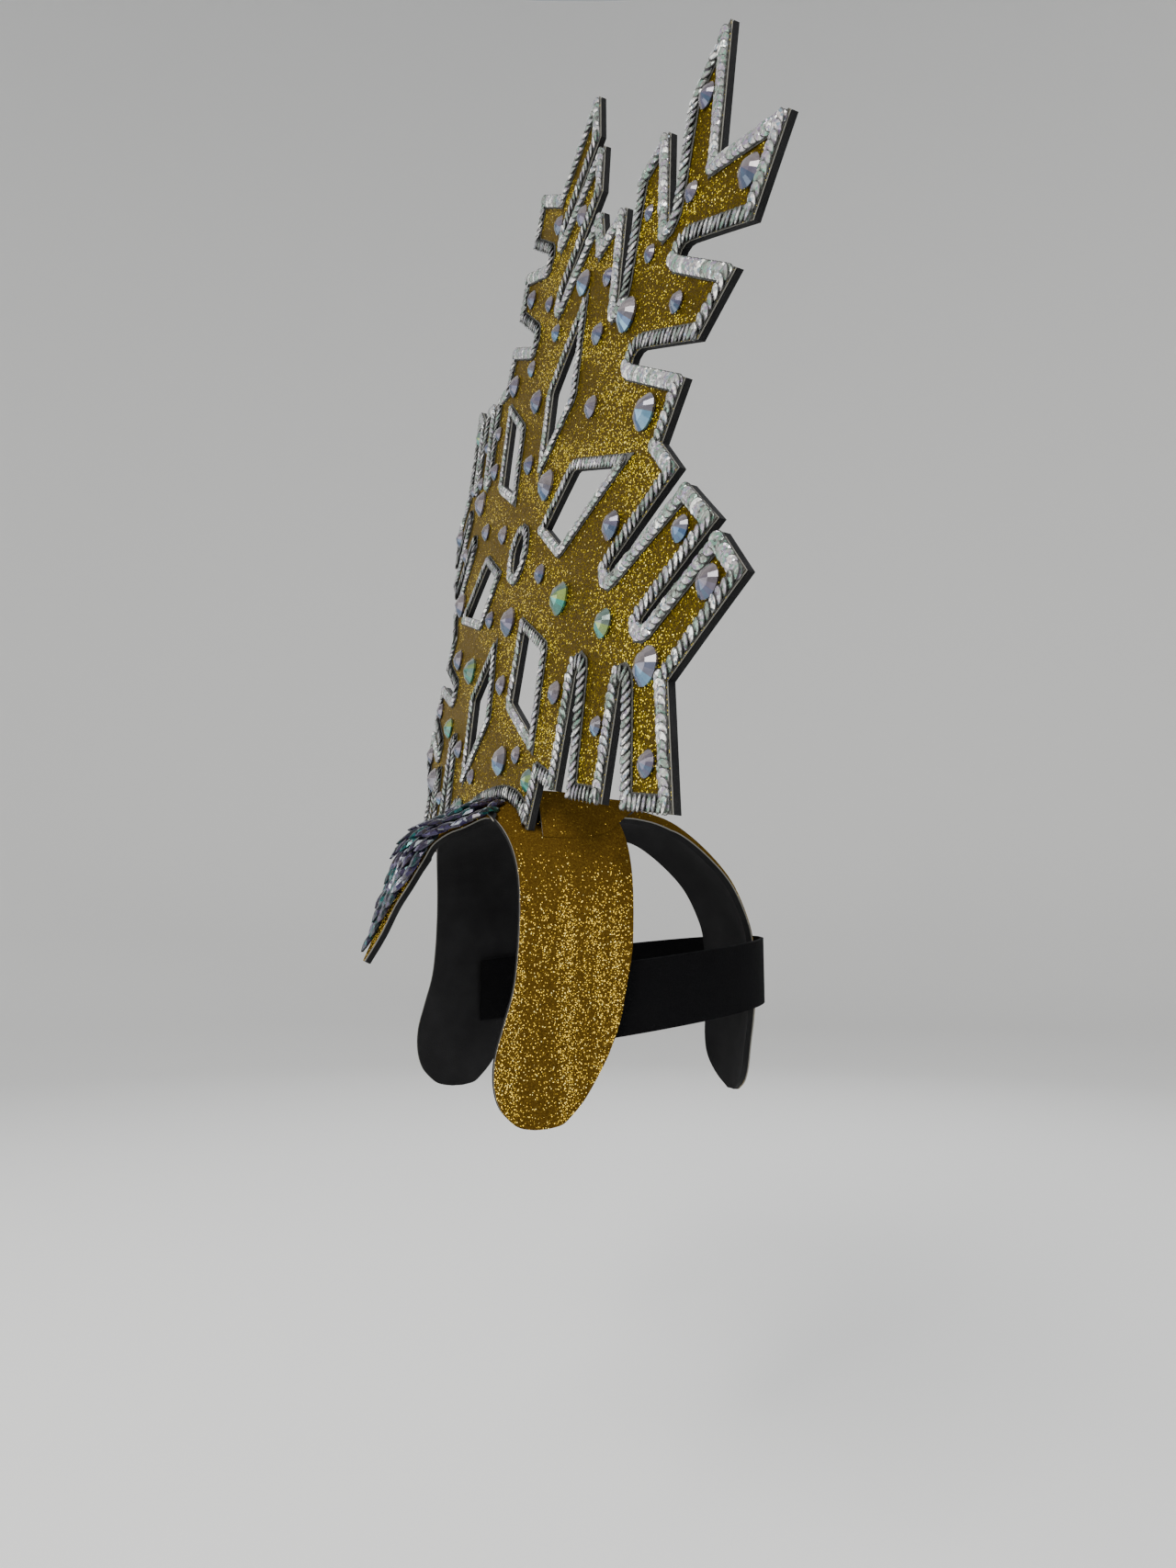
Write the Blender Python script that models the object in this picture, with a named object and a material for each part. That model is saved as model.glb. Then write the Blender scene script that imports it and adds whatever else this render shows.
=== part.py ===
"""Carnival crown: a six-armed snowflake crest of faced foam board across a foam skull cap.

Metres, +Z up. The wearer faces -Y and the wearer's left is +X. The origin is the point inside
the crown of the cap that rests on top of the head.
"""

import math

import bmesh
import bpy
from mathutils import Vector
from mathutils.geometry import delaunay_2d_cdt

for leftover in list(bpy.data.objects):
    bpy.data.objects.remove(leftover, do_unlink=True)

# Clearance between pieces that touch
GAP = 0.0003

# Crest: where it stands and how it is bent
CREST_HEIGHT = 0.143        # centre of the snowflake above the origin
CREST_SETBACK = -0.003      # centre of the snowflake along Y
CREST_LEAN = math.radians(6.7)
WING_SWEEP = 0.0150         # how far the crest bends back at one arm's length to the side

# Crest: the snowflake and its layers
ARM = 0.230                 # centre to the notch in an arm's end
FOAM_BOARD = 0.0028
GLITTER_CLOTH = 0.0006
TRIM_WIDTH = 0.0070
TRIM_RISE = 0.0020

# Cap
CAP_FOAM = 0.0030
CAP_HALF_WIDTH = 0.0820
FOOT_INSET = 0.0110         # from the cap's side to the outer corner of a crest's foot
SHOULDER_RISE = 0.0600      # from the straight sides up to the crown
SHOULDER_POWER = 2.6        # 2 is an ellipse, more is squarer
LAPPET_DROP = 0.0990        # straight part of a lappet
LAPPET_TUCK = 0.0040        # how far a lappet's end leans in
LAPPET_WIDTH = 0.0620
SADDLE_MIDDLE = -0.0010     # the saddle's centre line along Y
BROW_DIP = 0.0060           # how far the saddle's front edge dips at the middle

# Raised flap behind the crest
FLAP_CLOTH = 0.0022
FLAP_HEM = 0.0006           # its sides thin out to this where they lie on the saddle
FLAP_LENGTH = 0.0660
FLAP_CREASE = 0.0660        # half width at the crease
FLAP_EDGE = 0.0735          # half width at the hem
FLAP_RISE = 0.0019          # its middle above the cap, at the underside of the cloth
FLAP_FALL = 0.0120          # from its middle down to the lowest part of the crease

# Peak
PEAK_FOAM = 0.0036
PEAK_REACH = 0.0500         # forward of the saddle
PEAK_DROP = 0.0780          # below the saddle's front edge
PEAK_HALF_WIDTH = 0.0460
PEAK_ROUNDNESS = 0.1600     # its crosswise radius
LEAF_LAP = 0.01066          # how far the leaf stones reach back over the saddle
LEAF_LENGTH = 0.0190
LEAF_WIDTH = 0.0088
LEAF_HEIGHT = 0.0032
LEAF_TABLE = 0.42           # table as a share of the leaf
LEAF_LIFT = math.radians(7)  # how far a leaf's lower tip stands up
LEAF_BACKING = 0.0010
LEAF_FIELD = 0.90           # width of the leaves' backing as a share of the peak's

# Rear band and nape tab
BAND_FOAM = 0.0036
BAND_REACH = 0.1050         # back of the saddle
BAND_DROP = 0.1580          # below the crown
BAND_HALF_WIDTH = 0.0300
BAND_ROUNDNESS = 0.0580     # its crosswise radius

# Elastic
STRAP_WIDTH = 0.0345
STRAP_CLOTH = 0.0015
STRAP_FRONT_DROP = 0.1045   # its middle at the lappets, below the crown
STRAP_BACK_DROP = 0.0895    # its middle at the back
STRAP_POWER = 2.4           # squareness of its way round the head

# Stones on the crest, by size
STONE_SIZES = {"large": 0.0170, "middle": 0.0140, "medium": 0.0115, "small": 0.0095}
STONE_SIDES = 10
STONE_ASPECT = 0.34         # height as a share of the diameter
STONE_TABLE = 0.42          # table as a share of the diameter

# Corners of half an arm, seen from the front, as shares of ARM: along the arm, across it
HALF_ARM = (
    # corner        along  across
    ("tip", 1.123, 0.201),
    ("tip inner", 0.985, 0.239),
    ("middle", 0.928, 0.281),
    ("middle inner", 0.796, 0.300),
    ("last", 0.724, 0.324),
)
END_NOTCH = 0.985
NOTCH_BETWEEN_ARMS = 0.717
SLOT_ENDS = {
    # after corner: end on the outer side, end on the inner side
    "tip inner": ((0.856, 0.063), (0.823, 0.066)),
    "middle inner": ((0.650, 0.106), (0.614, 0.115)),
}

# The crest was cut by hand: how far near-side corners stray from the regular snowflake,
# sideways and up as shares of ARM; the far side mirrors them
HAND_CUT = {
    # arm, side, corner
    (30, 1, "tip"): (-0.023, 0.054),
    (30, -1, "tip"): (-0.012, 0.056),
    (30, 1, "middle"): (-0.020, -0.010),
    (30, -1, "tip inner"): (0.009, 0.002),
    (30, -1, "last"): (0.020, -0.002),
    (330, 1, "tip"): (-0.020, 0.032),
    (330, 1, "tip inner"): (0.004, 0.017),
    (330, -1, "tip"): (0.040, 0.012),
    (330, -1, "tip inner"): (0.018, -0.002),
    (330, -1, "middle inner"): (-0.020, -0.001),
    (330, 1, "middle"): (0.018, -0.019),
    (330, -1, "middle"): (-0.004, 0.023),
    (330, 1, "middle inner"): (0.021, -0.006),
    (330, 1, "last"): (0.030, -0.016),
    (330, -1, "last"): (-0.027, 0.006),
}
NOTCH_STRAY = {0: (0.030, -0.022), 300: (-0.018, 0.021)}

# Corners of the near windows' trim, sideways and up as shares of ARM
NEAR_WINDOWS = {
    "side": ((0.134, 0.004), (0.309, -0.121), (0.665, 0.000), (0.332, 0.121)),
    "upper": ((0.084, 0.146), (0.305, 0.273), (0.304, 0.560), (0.084, 0.389)),
    "lower": ((0.096, -0.174), (0.061, -0.406), (0.301, -0.558), (0.313, -0.293)),
}
WINDOW_BLUNT = 0.05         # share of an edge cut off at each corner
EYE_RADIUS = 0.094
EYE_BLUNT = 0.22

# Stones of the near half, as shares of ARM: sideways, up; the far half mirrors them
STONE_PAIRS = (
    ("middle", 0.970, 0.386), ("large", 0.543, 0.343), ("large", 0.675, 0.068),
    ("middle", 0.958, -0.352), ("large", 0.785, -0.455),
    ("medium", 0.790, 0.668), ("small", 0.768, 0.478), ("small", 0.412, 0.506),
    ("middle", 0.264, 0.578), ("medium", 0.403, 0.203), ("middle", 0.580, -0.128),
    ("medium", 0.853, -0.225), ("large", 0.354, -0.215), ("medium", 0.819, -0.631),
    ("medium", 0.386, -0.426),
)
LONE_STONES = (
    ("middle", 0.0, 0.404), ("small", 0.0, 0.675), ("medium", 0.0, 0.900),
    ("medium", 0.0, 0.235), ("large", 0.0, -0.173), ("medium", 0.0, -0.330),
    ("large", 0.174, 0.112), ("medium", -0.174, 0.112),
)

# Lappet edges: share of the way down, front and back edge as shares of LAPPET_WIDTH
LAPPET_EDGES = (
    # down   front   back
    (0.00, -0.42, 0.50),
    (0.18, -0.43, 0.49),
    (0.36, -0.46, 0.44),
    (0.52, -0.53, 0.39),
    (0.66, -0.59, 0.31),
    (0.78, -0.595, 0.21),
    (0.88, -0.55, 0.11),
    (0.95, -0.46, 0.01),
    (1.00, -0.30, -0.14),
)
SADDLE_FRONT = -0.53        # front and back edge over the crown, shares of LAPPET_WIDTH
SADDLE_BACK = 0.50
SHOULDER_STEPS = 9

# Peak from root to tip: forward and down as shares of its reach and drop, half width
PEAK_STATIONS = (
    # forward down   half width
    (0.000, 0.000, 1.32),
    (0.076, 0.032, 1.03),
    (0.225, 0.094, 0.90),
    (0.374, 0.141, 0.82),
    (0.513, 0.231, 0.72),
    (0.583, 0.346, 0.62),
    (0.672, 0.494, 0.48),
    (0.771, 0.641, 0.34),
    (0.871, 0.827, 0.18),
    (1.000, 1.000, 0.04),
)

# Rear band from root to nape tab: back and down as shares of its reach and drop, half width
BAND_STATIONS = (
    # back  down   half width
    (0.000, 0.000, 1.75),
    (0.100, 0.001, 1.42),
    (0.226, 0.006, 1.15),
    (0.378, 0.018, 1.04),
    (0.530, 0.052, 1.00),
    (0.707, 0.137, 0.98),
    (0.859, 0.247, 0.96),
    (0.959, 0.386, 0.94),
    (0.992, 0.493, 0.94),
    (1.000, 0.620, 0.94),
    (0.988, 0.734, 0.92),
    (0.964, 0.838, 0.86),
    (0.950, 0.908, 0.74),
    (0.940, 0.962, 0.48),
    (0.935, 1.000, 0.12),
)

# Flap from the crest to its tail: share of its length, half widths as shares of FLAP_CREASE
# and FLAP_EDGE, and how far the middle and the crease have fallen, of FLAP_FALL
FLAP_STATIONS = (
    # along crease edge  middle crease
    (0.00, 1.00, 1.00, 0.00, 0.47),
    (0.25, 1.00, 1.00, 0.00, 0.50),
    (0.50, 0.97, 0.97, 0.01, 0.78),
    (0.68, 0.91, 0.87, 0.01, 0.88),
    (0.84, 0.76, 0.73, 0.05, 0.80),
    (1.00, 0.52, 0.49, 0.08, 0.50),
)

# Leaf stones from the crest's foot down the peak: share of the way, leaves across, how far
# the outermost sit towards the edges, and how far they fan out
LEAF_ROWS = (
    # along count spread fan
    (0.095, 6, 0.86, 62),
    (0.200, 7, 0.84, 44),
    (0.300, 6, 0.80, 34),
    (0.400, 5, 0.76, 28),
    (0.500, 4, 0.70, 24),
    (0.600, 4, 0.74, 20),
    (0.705, 3, 0.62, 16),
    (0.805, 2, 0.42, 10),
    (0.895, 1, 0.00, 0),
)

# Outline of a leaf stone as shares of its length and width
LEAF_OUTLINE = (
    (0.50, 0.00), (0.26, 0.37), (0.00, 0.50), (-0.26, 0.37),
    (-0.50, 0.00), (-0.26, -0.37), (0.00, -0.50), (0.26, -0.37),
)


def new_material(name, color, roughness, metallic=0.0):
    """A plain material in the piece's own colour."""
    material = bpy.data.materials.new(name)
    material.use_nodes = True
    shader = material.node_tree.nodes["Principled BSDF"]
    shader.inputs["Base Color"].default_value = (*color, 1.0)
    shader.inputs["Roughness"].default_value = roughness
    shader.inputs["Metallic"].default_value = metallic
    material.diffuse_color = (*color, 1.0)
    return material


BLACK_FOAM = new_material("black_foam", (0.02, 0.02, 0.022), 0.8)
GOLD_CLOTH = new_material("gold_glitter", (0.24, 0.13, 0.01), 0.4, 0.6)
SEQUINS = new_material("sequins", (0.70, 0.74, 0.76), 0.2, 0.7)
STONE_GLASS = new_material("stone", (0.62, 0.60, 0.80), 0.08, 0.4)
ELASTIC = new_material("elastic", (0.008, 0.008, 0.009), 0.9)


def add_object(name, mesh_builder, material, smooth=False):
    """Links a closed bmesh as one named object."""
    bmesh.ops.remove_doubles(mesh_builder, verts=mesh_builder.verts, dist=1e-6)
    bmesh.ops.recalc_face_normals(mesh_builder, faces=mesh_builder.faces)
    mesh = bpy.data.meshes.new(name)
    mesh_builder.to_mesh(mesh)
    mesh_builder.free()
    mesh.materials.append(material)
    if smooth:
        mesh.shade_smooth()
        mesh.set_sharp_from_angle(angle=math.radians(40))
    item = bpy.data.objects.new(name, mesh)
    bpy.context.scene.collection.objects.link(item)
    return item


def turned(point, degrees):
    """Turns a point given as along and across shares into crest shares."""
    along, across = point
    angle = math.radians(degrees)
    return (along * math.cos(angle) - across * math.sin(angle),
            along * math.sin(angle) + across * math.cos(angle))


# The cap's own form, which the crest's arch, the peak and the flap follow

def shoulder_drop(x):
    """How far the saddle's outer surface lies below its crown at x from the middle."""
    share = min(abs(x) / CAP_HALF_WIDTH, 1.0)
    return SHOULDER_RISE * (1.0 - (1.0 - share ** SHOULDER_POWER) ** (1.0 / SHOULDER_POWER))


def saddle_height(x, y=SADDLE_MIDDLE):
    """Height of the saddle's outer surface over the head, which dips towards the brow."""
    forward = max(SADDLE_MIDDLE - y, 0.0) / (-SADDLE_FRONT * LAPPET_WIDTH)
    dip = BROW_DIP * forward ** 3
    flat = 1.0 - min(abs(x) / CAP_HALF_WIDTH, 1.0) ** 4
    return CAP_FOAM - shoulder_drop(x) - dip * flat


# The crest

FOOT_HALF_WIDTH = CAP_HALF_WIDTH - FOOT_INSET
FACE_TOP = 0.0
BOARD_TOP = -GLITTER_CLOTH - GAP
BOARD_BACK = BOARD_TOP - FOAM_BOARD


def crest_sag(x):
    """How far the bent crest lies behind its flat middle at x."""
    return WING_SWEEP * (x / ARM) ** 2


def on_crest(x, y, out=0.0):
    """World point of a crest point: sideways, up the crest, and out of its face."""
    normal = out - crest_sag(x)
    return Vector((
        x,
        CREST_SETBACK + y * math.sin(CREST_LEAN) - normal * math.cos(CREST_LEAN),
        CREST_HEIGHT + y * math.cos(CREST_LEAN) + normal * math.sin(CREST_LEAN),
    ))


def arch_point(x):
    """Where the crest's lower edge clears the saddle at x, up the crest."""
    lowest_out = BOARD_BACK - crest_sag(x)
    foot = CREST_SETBACK - CREST_HEIGHT * math.tan(CREST_LEAN)
    foot -= lowest_out * math.cos(CREST_LEAN)
    height = saddle_height(x, foot) + GAP
    rise = height - CREST_HEIGHT - lowest_out * math.sin(CREST_LEAN)
    return (x, rise / math.cos(CREST_LEAN))


def round_end(first, last, mouth):
    """Points of the half circle that closes a slot, on the side away from its mouth."""
    middle = ((first[0] + last[0]) / 2, (first[1] + last[1]) / 2)
    radius = math.dist(first, last) / 2
    away = (middle[0] - mouth[0], middle[1] - mouth[1])
    reach = math.hypot(*away)
    away = (away[0] / reach * radius, away[1] / reach * radius)
    side = (first[0] - middle[0], first[1] - middle[1])
    points = []
    for step in range(5):
        turn = math.pi * step / 4
        points.append((
            middle[0] + side[0] * math.cos(turn) + away[0] * math.sin(turn),
            middle[1] + side[1] * math.cos(turn) + away[1] * math.sin(turn),
        ))
    return points


def arm_side(degrees, side):
    """Corners of one side of a near arm, from its tip to its last barb."""
    corners = {}
    for name, along, across in HALF_ARM:
        x, y = turned((along, side * across), degrees)
        stray = HAND_CUT.get((degrees, side, name), (0.0, 0.0))
        corners[name] = (x + stray[0], y + stray[1])
    names = list(corners)
    points = []
    for index, name in enumerate(names):
        points.append(corners[name])
        if name in SLOT_ENDS:
            first, last = [turned((along, side * across), degrees)
                           for along, across in SLOT_ENDS[name]]
            follower = corners[names[index + 1]]
            mouth = ((corners[name][0] + follower[0]) / 2, (corners[name][1] + follower[1]) / 2)
            points += round_end(first, last, mouth)
    return points


def notch(degrees):
    """The notch where two neighbouring arms meet."""
    x, y = turned((NOTCH_BETWEEN_ARMS, 0.0), degrees)
    stray = NOTCH_STRAY.get(degrees, (0.0, 0.0))
    return (x + stray[0], y + stray[1])


def crest_path():
    """The outline from the near foot round to the far foot, in metres."""
    near = [notch(300)]
    for degrees, after in ((330, 0), (30, 60)):
        near += reversed(arm_side(degrees, -1))
        near.append(turned((END_NOTCH, 0.0), degrees))
        near += arm_side(degrees, 1)
        near.append(notch(after))
    near += reversed(arm_side(90, -1))
    shares = near + [(0.0, END_NOTCH)] + [(-x, y) for x, y in reversed(near)]
    path = [(x * ARM, y * ARM) for x, y in shares]
    return [arch_point(FOOT_HALF_WIDTH)] + path + [arch_point(-FOOT_HALF_WIDTH)]


def arch_path():
    """The arch from the far foot to the near foot, without the feet's corners."""
    steps = 18
    turns = [math.pi / 2 * (2 * step / steps - 1) for step in range(1, steps)]
    return [arch_point(FOOT_HALF_WIDTH * math.sin(turn)) for turn in turns]


def blunted(corners, share):
    """Outline in metres whose corners, given as shares of ARM, are cut off a little."""
    points = []
    for index, corner in enumerate(corners):
        for other in (corners[index - 1], corners[(index + 1) % len(corners)]):
            points.append(tuple(ARM * (c + share * (o - c)) for c, o in zip(corner, other)))
    return points


def window_outlines():
    """Outer outline of each window's trim by name, near and far."""
    outlines = {}
    for name, corners in NEAR_WINDOWS.items():
        outlines[f"near_{name}"] = blunted(corners, WINDOW_BLUNT)
        mirrored = [(-x, y) for x, y in reversed(corners)]
        outlines[f"far_{name}"] = blunted(mirrored, WINDOW_BLUNT)
    return outlines


def eye_outline():
    """Outer outline of the eye's trim."""
    corners = [turned((EYE_RADIUS, 0.0), degrees) for degrees in range(30, 390, 60)]
    return blunted(corners, EYE_BLUNT)


def inset(points, distance):
    """Moves a closed counter-clockwise outline inwards, dropping edges too short to survive."""
    edges = []
    for start, end in zip(points, points[1:] + points[:1]):
        run = (Vector(end) - Vector(start)).normalized()
        edges.append((Vector(start) + distance * Vector((-run.y, run.x)), run))
    while True:
        corners = []
        for (base, run), (next_base, next_run) in zip(edges[-1:] + edges[:-1], edges):
            turn = run.cross(next_run)
            if abs(turn) < 1e-3:
                corners.append(next_base)
            else:
                corners.append(base + run * ((next_base - base).cross(next_run) / turn))
        kept = [edge for edge, start, end in zip(edges, corners, corners[1:] + corners[:1])
                if (end - start).dot(edge[1]) > 0.0]
        if len(kept) == len(edges):
            return [tuple(corner) for corner in corners]
        edges = kept


def plate(name, outer, holes, low, high, material, inner_points=()):
    """A bent sheet between two distances out of the crest's face, cut by holes."""
    loops = [outer, *holes]
    points = [Vector(point) / ARM for loop in [*loops, inner_points] for point in loop]
    faces, start = [], 0
    for loop in loops:
        faces.append(list(range(start, start + len(loop))))
        start += len(loop)
    corners, _, triangles, _, _, owners = delaunay_2d_cdt(points, [], faces, 0, 1e-6)
    corners = [corner * ARM for corner in corners]
    kept = [tri for tri, owner in zip(triangles, owners) if list(owner) == [0]]
    shape = bmesh.new()
    upper = [shape.verts.new(on_crest(p.x, p.y, high)) for p in corners]
    lower = [shape.verts.new(on_crest(p.x, p.y, low)) for p in corners]
    edges = {}
    for tri in kept:
        shape.faces.new([upper[i] for i in tri])
        shape.faces.new([lower[i] for i in reversed(tri)])
        for start, end in zip(tri, tri[1:] + tri[:1]):
            edges[(start, end)] = edges.get((start, end), 0) + 1
    for start, end in edges:
        if (end, start) not in edges:
            shape.faces.new((lower[start], lower[end], upper[end], upper[start]))
    loose = [vert for vert in shape.verts if not vert.link_faces]
    bmesh.ops.delete(shape, geom=loose, context="VERTS")
    return add_object(name, shape, material)


def kept_clear(x, y, radius, loops):
    """Moves a stone's seat off any trim edge that it would lie on."""
    seat = Vector((x, y))
    for loop in loops:
        for start, end in zip(loop, loop[1:] + loop[:1]):
            base, run = Vector(start), Vector(end) - Vector(start)
            share = (seat - base).dot(run) / run.length_squared
            away = seat - (base + run * min(max(share, 0.0), 1.0))
            if away.length < radius + GAP:
                seat += away.normalized() * (radius + GAP - away.length)
    return seat.x, seat.y


def stone_rows():
    """Every crest stone as size, sideways and up, in metres."""
    rows = [(size, x * ARM, y * ARM) for size, x, y in LONE_STONES]
    for size, x, y in STONE_PAIRS:
        rows += [(size, x * ARM, y * ARM), (size, -x * ARM, y * ARM)]
    return rows


def crest_frame(x, y):
    """Sideways, up and out directions of the crest's face at a point."""
    step = 0.001
    side = (on_crest(x + step, y) - on_crest(x - step, y)).normalized()
    up = (on_crest(x, y + step) - on_crest(x, y - step)).normalized()
    return side, up, side.cross(up).normalized()


def add_stone(name, size, x, y):
    """A round stone with a table and a ring of crown facets, flat side on the cloth."""
    radius = STONE_SIZES[size] / 2
    height = STONE_SIZES[size] * STONE_ASPECT
    side, up, out = crest_frame(x, y)
    seat = on_crest(x, y, FACE_TOP + GAP)
    levels = (
        # height share, radius share
        (0.00, 0.96),
        (0.22, 1.00),
        (1.00, STONE_TABLE),
    )
    shape = bmesh.new()
    rings = []
    for rise, reach in levels:
        ring = []
        for index in range(STONE_SIDES):
            turn = 2 * math.pi * index / STONE_SIDES
            spot = seat + out * (height * rise)
            spot += side * (radius * reach * math.cos(turn))
            spot += up * (radius * reach * math.sin(turn))
            ring.append(shape.verts.new(spot))
        rings.append(ring)
    for lower, upper in zip(rings, rings[1:]):
        for index in range(STONE_SIDES):
            after = (index + 1) % STONE_SIDES
            shape.faces.new((lower[index], lower[after], upper[after], upper[index]))
    shape.faces.new(list(reversed(rings[0])))
    shape.faces.new(rings[-1])
    return add_object(name, shape, STONE_GLASS)


def build_crest():
    """Board, cloth face, trims and stones."""
    outline = crest_path() + arch_path()
    windows = window_outlines()
    holes = {name: inset(window, TRIM_WIDTH) for name, window in windows.items()}
    eye = eye_outline()
    eye_hole = inset(eye, TRIM_WIDTH)
    trim_edges = [inset(outline, TRIM_WIDTH), *windows.values(), eye]
    stones = [(size, *kept_clear(x, y, STONE_SIZES[size] / 2, trim_edges))
              for size, x, y in stone_rows()]
    seats = [(x, y) for _, x, y in stones]
    cuts = [*holes.values(), eye_hole]
    plate("crest_board", outline, cuts, BOARD_BACK, BOARD_TOP, BLACK_FOAM, seats)
    plate("crest_face", outline, cuts, BOARD_TOP + GAP, FACE_TOP, GOLD_CLOTH, seats)

    low, high = FACE_TOP + GAP, FACE_TOP + GAP + TRIM_RISE
    plate("outline_trim", outline, [trim_edges[0]], low, high, SEQUINS)
    for name, window in windows.items():
        plate(f"window_trim_{name}", window, [holes[name]], low, high, SEQUINS)
    plate("eye_trim", eye, [eye_hole], low, high, SEQUINS)
    for index, (size, x, y) in enumerate(stones):
        add_stone(f"crest_stone_{index + 1:02d}", size, x, y)


# Shells: the cap's pieces are grids of outer points with a wall behind them

def grid_normals(grid):
    """Outward normals of a grid of points whose rows and columns turn right-handed."""
    normals = []
    for i, row in enumerate(grid):
        line = []
        for j in range(len(row)):
            down = grid[min(i + 1, len(grid) - 1)][j] - grid[max(i - 1, 0)][j]
            over = row[min(j + 1, len(row) - 1)] - row[max(j - 1, 0)]
            line.append(down.cross(over).normalized())
        normals.append(line)
    return normals


def shell_mesh(grid, walls, square_root=False, rim_wall=None):
    """Closed shell from a grid of outer points; walls gives each row's thickness.

    A square root is a first row whose end face stands across Y, to butt against the saddle.
    A rim wall is the thickness of the first and last columns, where it differs.
    """
    normals = grid_normals(grid)
    if square_root:
        normals[0] = [Vector((normal.x, 0.0, normal.z)).normalized() for normal in normals[0]]
    shape = bmesh.new()
    outer = [[shape.verts.new(point) for point in row] for row in grid]
    rows, columns = len(grid), len(grid[0])
    inner = []
    for row, line, wall in zip(grid, normals, walls):
        depths = [wall] * columns
        depths[0] = depths[-1] = rim_wall or wall
        inner.append([shape.verts.new(point - normal * depth)
                      for point, normal, depth in zip(row, line, depths)])
    for i in range(rows - 1):
        for j in range(columns - 1):
            a, b, c, d = (i, j), (i + 1, j), (i + 1, j + 1), (i, j + 1)
            shape.faces.new([outer[p][q] for p, q in (a, b, c, d)])
            shape.faces.new([inner[p][q] for p, q in (d, c, b, a)])
    rim = [(i, 0) for i in range(rows)] + [(rows - 1, j) for j in range(1, columns)]
    rim += [(i, columns - 1) for i in range(rows - 2, -1, -1)]
    rim += [(0, j) for j in range(columns - 2, 0, -1)]
    for (p, q), (r, s) in zip(rim, rim[1:] + rim[:1]):
        shape.faces.new((outer[r][s], outer[p][q], inner[p][q], inner[r][s]))
    return shape


def saddle_section():
    """Half the saddle's outer section from the crown to a lappet's end, with edge shares."""
    rows = []
    for step in range(SHOULDER_STEPS + 1):
        share = math.sin(math.pi / 2 * step / SHOULDER_STEPS)
        x = CAP_HALF_WIDTH * share
        front = SADDLE_FRONT + (LAPPET_EDGES[0][1] - SADDLE_FRONT) * share ** 5
        rows.append((x, saddle_height(x), front, SADDLE_BACK))
    for down, front, back in LAPPET_EDGES:
        x = CAP_HALF_WIDTH - LAPPET_TUCK * down ** 2
        z = CAP_FOAM - SHOULDER_RISE - LAPPET_DROP * down
        if down > 0.0:
            rows.append((x, z, front, back))
    return rows


def build_saddle():
    """Saddle and lappets in one foam piece."""
    half = saddle_section()
    rows = [(-x, z, front, back) for x, z, front, back in reversed(half[1:])] + half
    columns = 4
    grid = []
    for x, z, front, back in rows:
        line = []
        for step in range(columns + 1):
            y = SADDLE_MIDDLE + (front + (back - front) * step / columns) * LAPPET_WIDTH
            dip = saddle_height(x) - saddle_height(x, y)
            line.append(Vector((x, y, z - dip)))
        grid.append(line)
    shape = shell_mesh(grid, [CAP_FOAM] * len(grid))
    return add_object("cap_saddle", shape, GOLD_CLOTH, smooth=True)


def tongue_grid(spine, columns, heading, radius, rise=0.0):
    """Grid over a tongue whose spine gives Y, height and half width.

    Heading is -1 for a tongue that runs forward and 1 for one that runs back; radius is its
    crosswise roundness, into which the saddle's own curve eases.
    """
    root = spine[0][0]
    grid = []
    for index, (y, z, half_width) in enumerate(spine):
        before, after = spine[max(index - 1, 0)], spine[min(index + 1, len(spine) - 1)]
        run = Vector((0.0, after[0] - before[0], after[1] - before[1])).normalized()
        out = heading * Vector((0.0, -run.z, run.y))
        if index == 0:
            out = Vector((0.0, 0.0, 1.0))
        ease = min(1.0, 3.0 * index / (len(spine) - 1))
        line = []
        for step in range(columns + 1):
            x = heading * half_width * (1 - 2 * step / columns)
            roundness = radius - math.sqrt(radius ** 2 - x * x)
            shoulder = saddle_height(0.0, root) - saddle_height(x, root)
            drop = (1 - ease) * shoulder + ease * roundness
            line.append(Vector((x, y, z)) + out * (rise - drop))
        grid.append(line)
    return grid


def peak_spine():
    """The peak's outer centre line and half widths."""
    root = SADDLE_MIDDLE + SADDLE_FRONT * LAPPET_WIDTH - GAP
    top = saddle_height(0.0, root)
    return [(root - forward * PEAK_REACH, top - down * PEAK_DROP, wide * PEAK_HALF_WIDTH)
            for forward, down, wide in PEAK_STATIONS]


def build_peak():
    """Foam tongue over the forehead."""
    grid = tongue_grid(peak_spine(), 8, -1, PEAK_ROUNDNESS)
    shape = shell_mesh(grid, [CAP_FOAM] + [PEAK_FOAM] * (len(grid) - 1), square_root=True)
    return add_object("peak", shape, GOLD_CLOTH, smooth=True)


def leaf_field():
    """Top of the leaf stones' backing, over the saddle's front strip and the peak."""
    rise = 3 * GAP + LEAF_BACKING
    spine = [(y, z, half_width * LEAF_FIELD) for y, z, half_width in peak_spine()]
    grid = tongue_grid(spine, 8, -1, PEAK_ROUNDNESS, rise)
    start = spine[0][0] + LEAF_LAP
    first = [Vector((point.x, start, saddle_height(point.x, start) + rise)) for point in grid[0]]
    return [first] + grid


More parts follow.
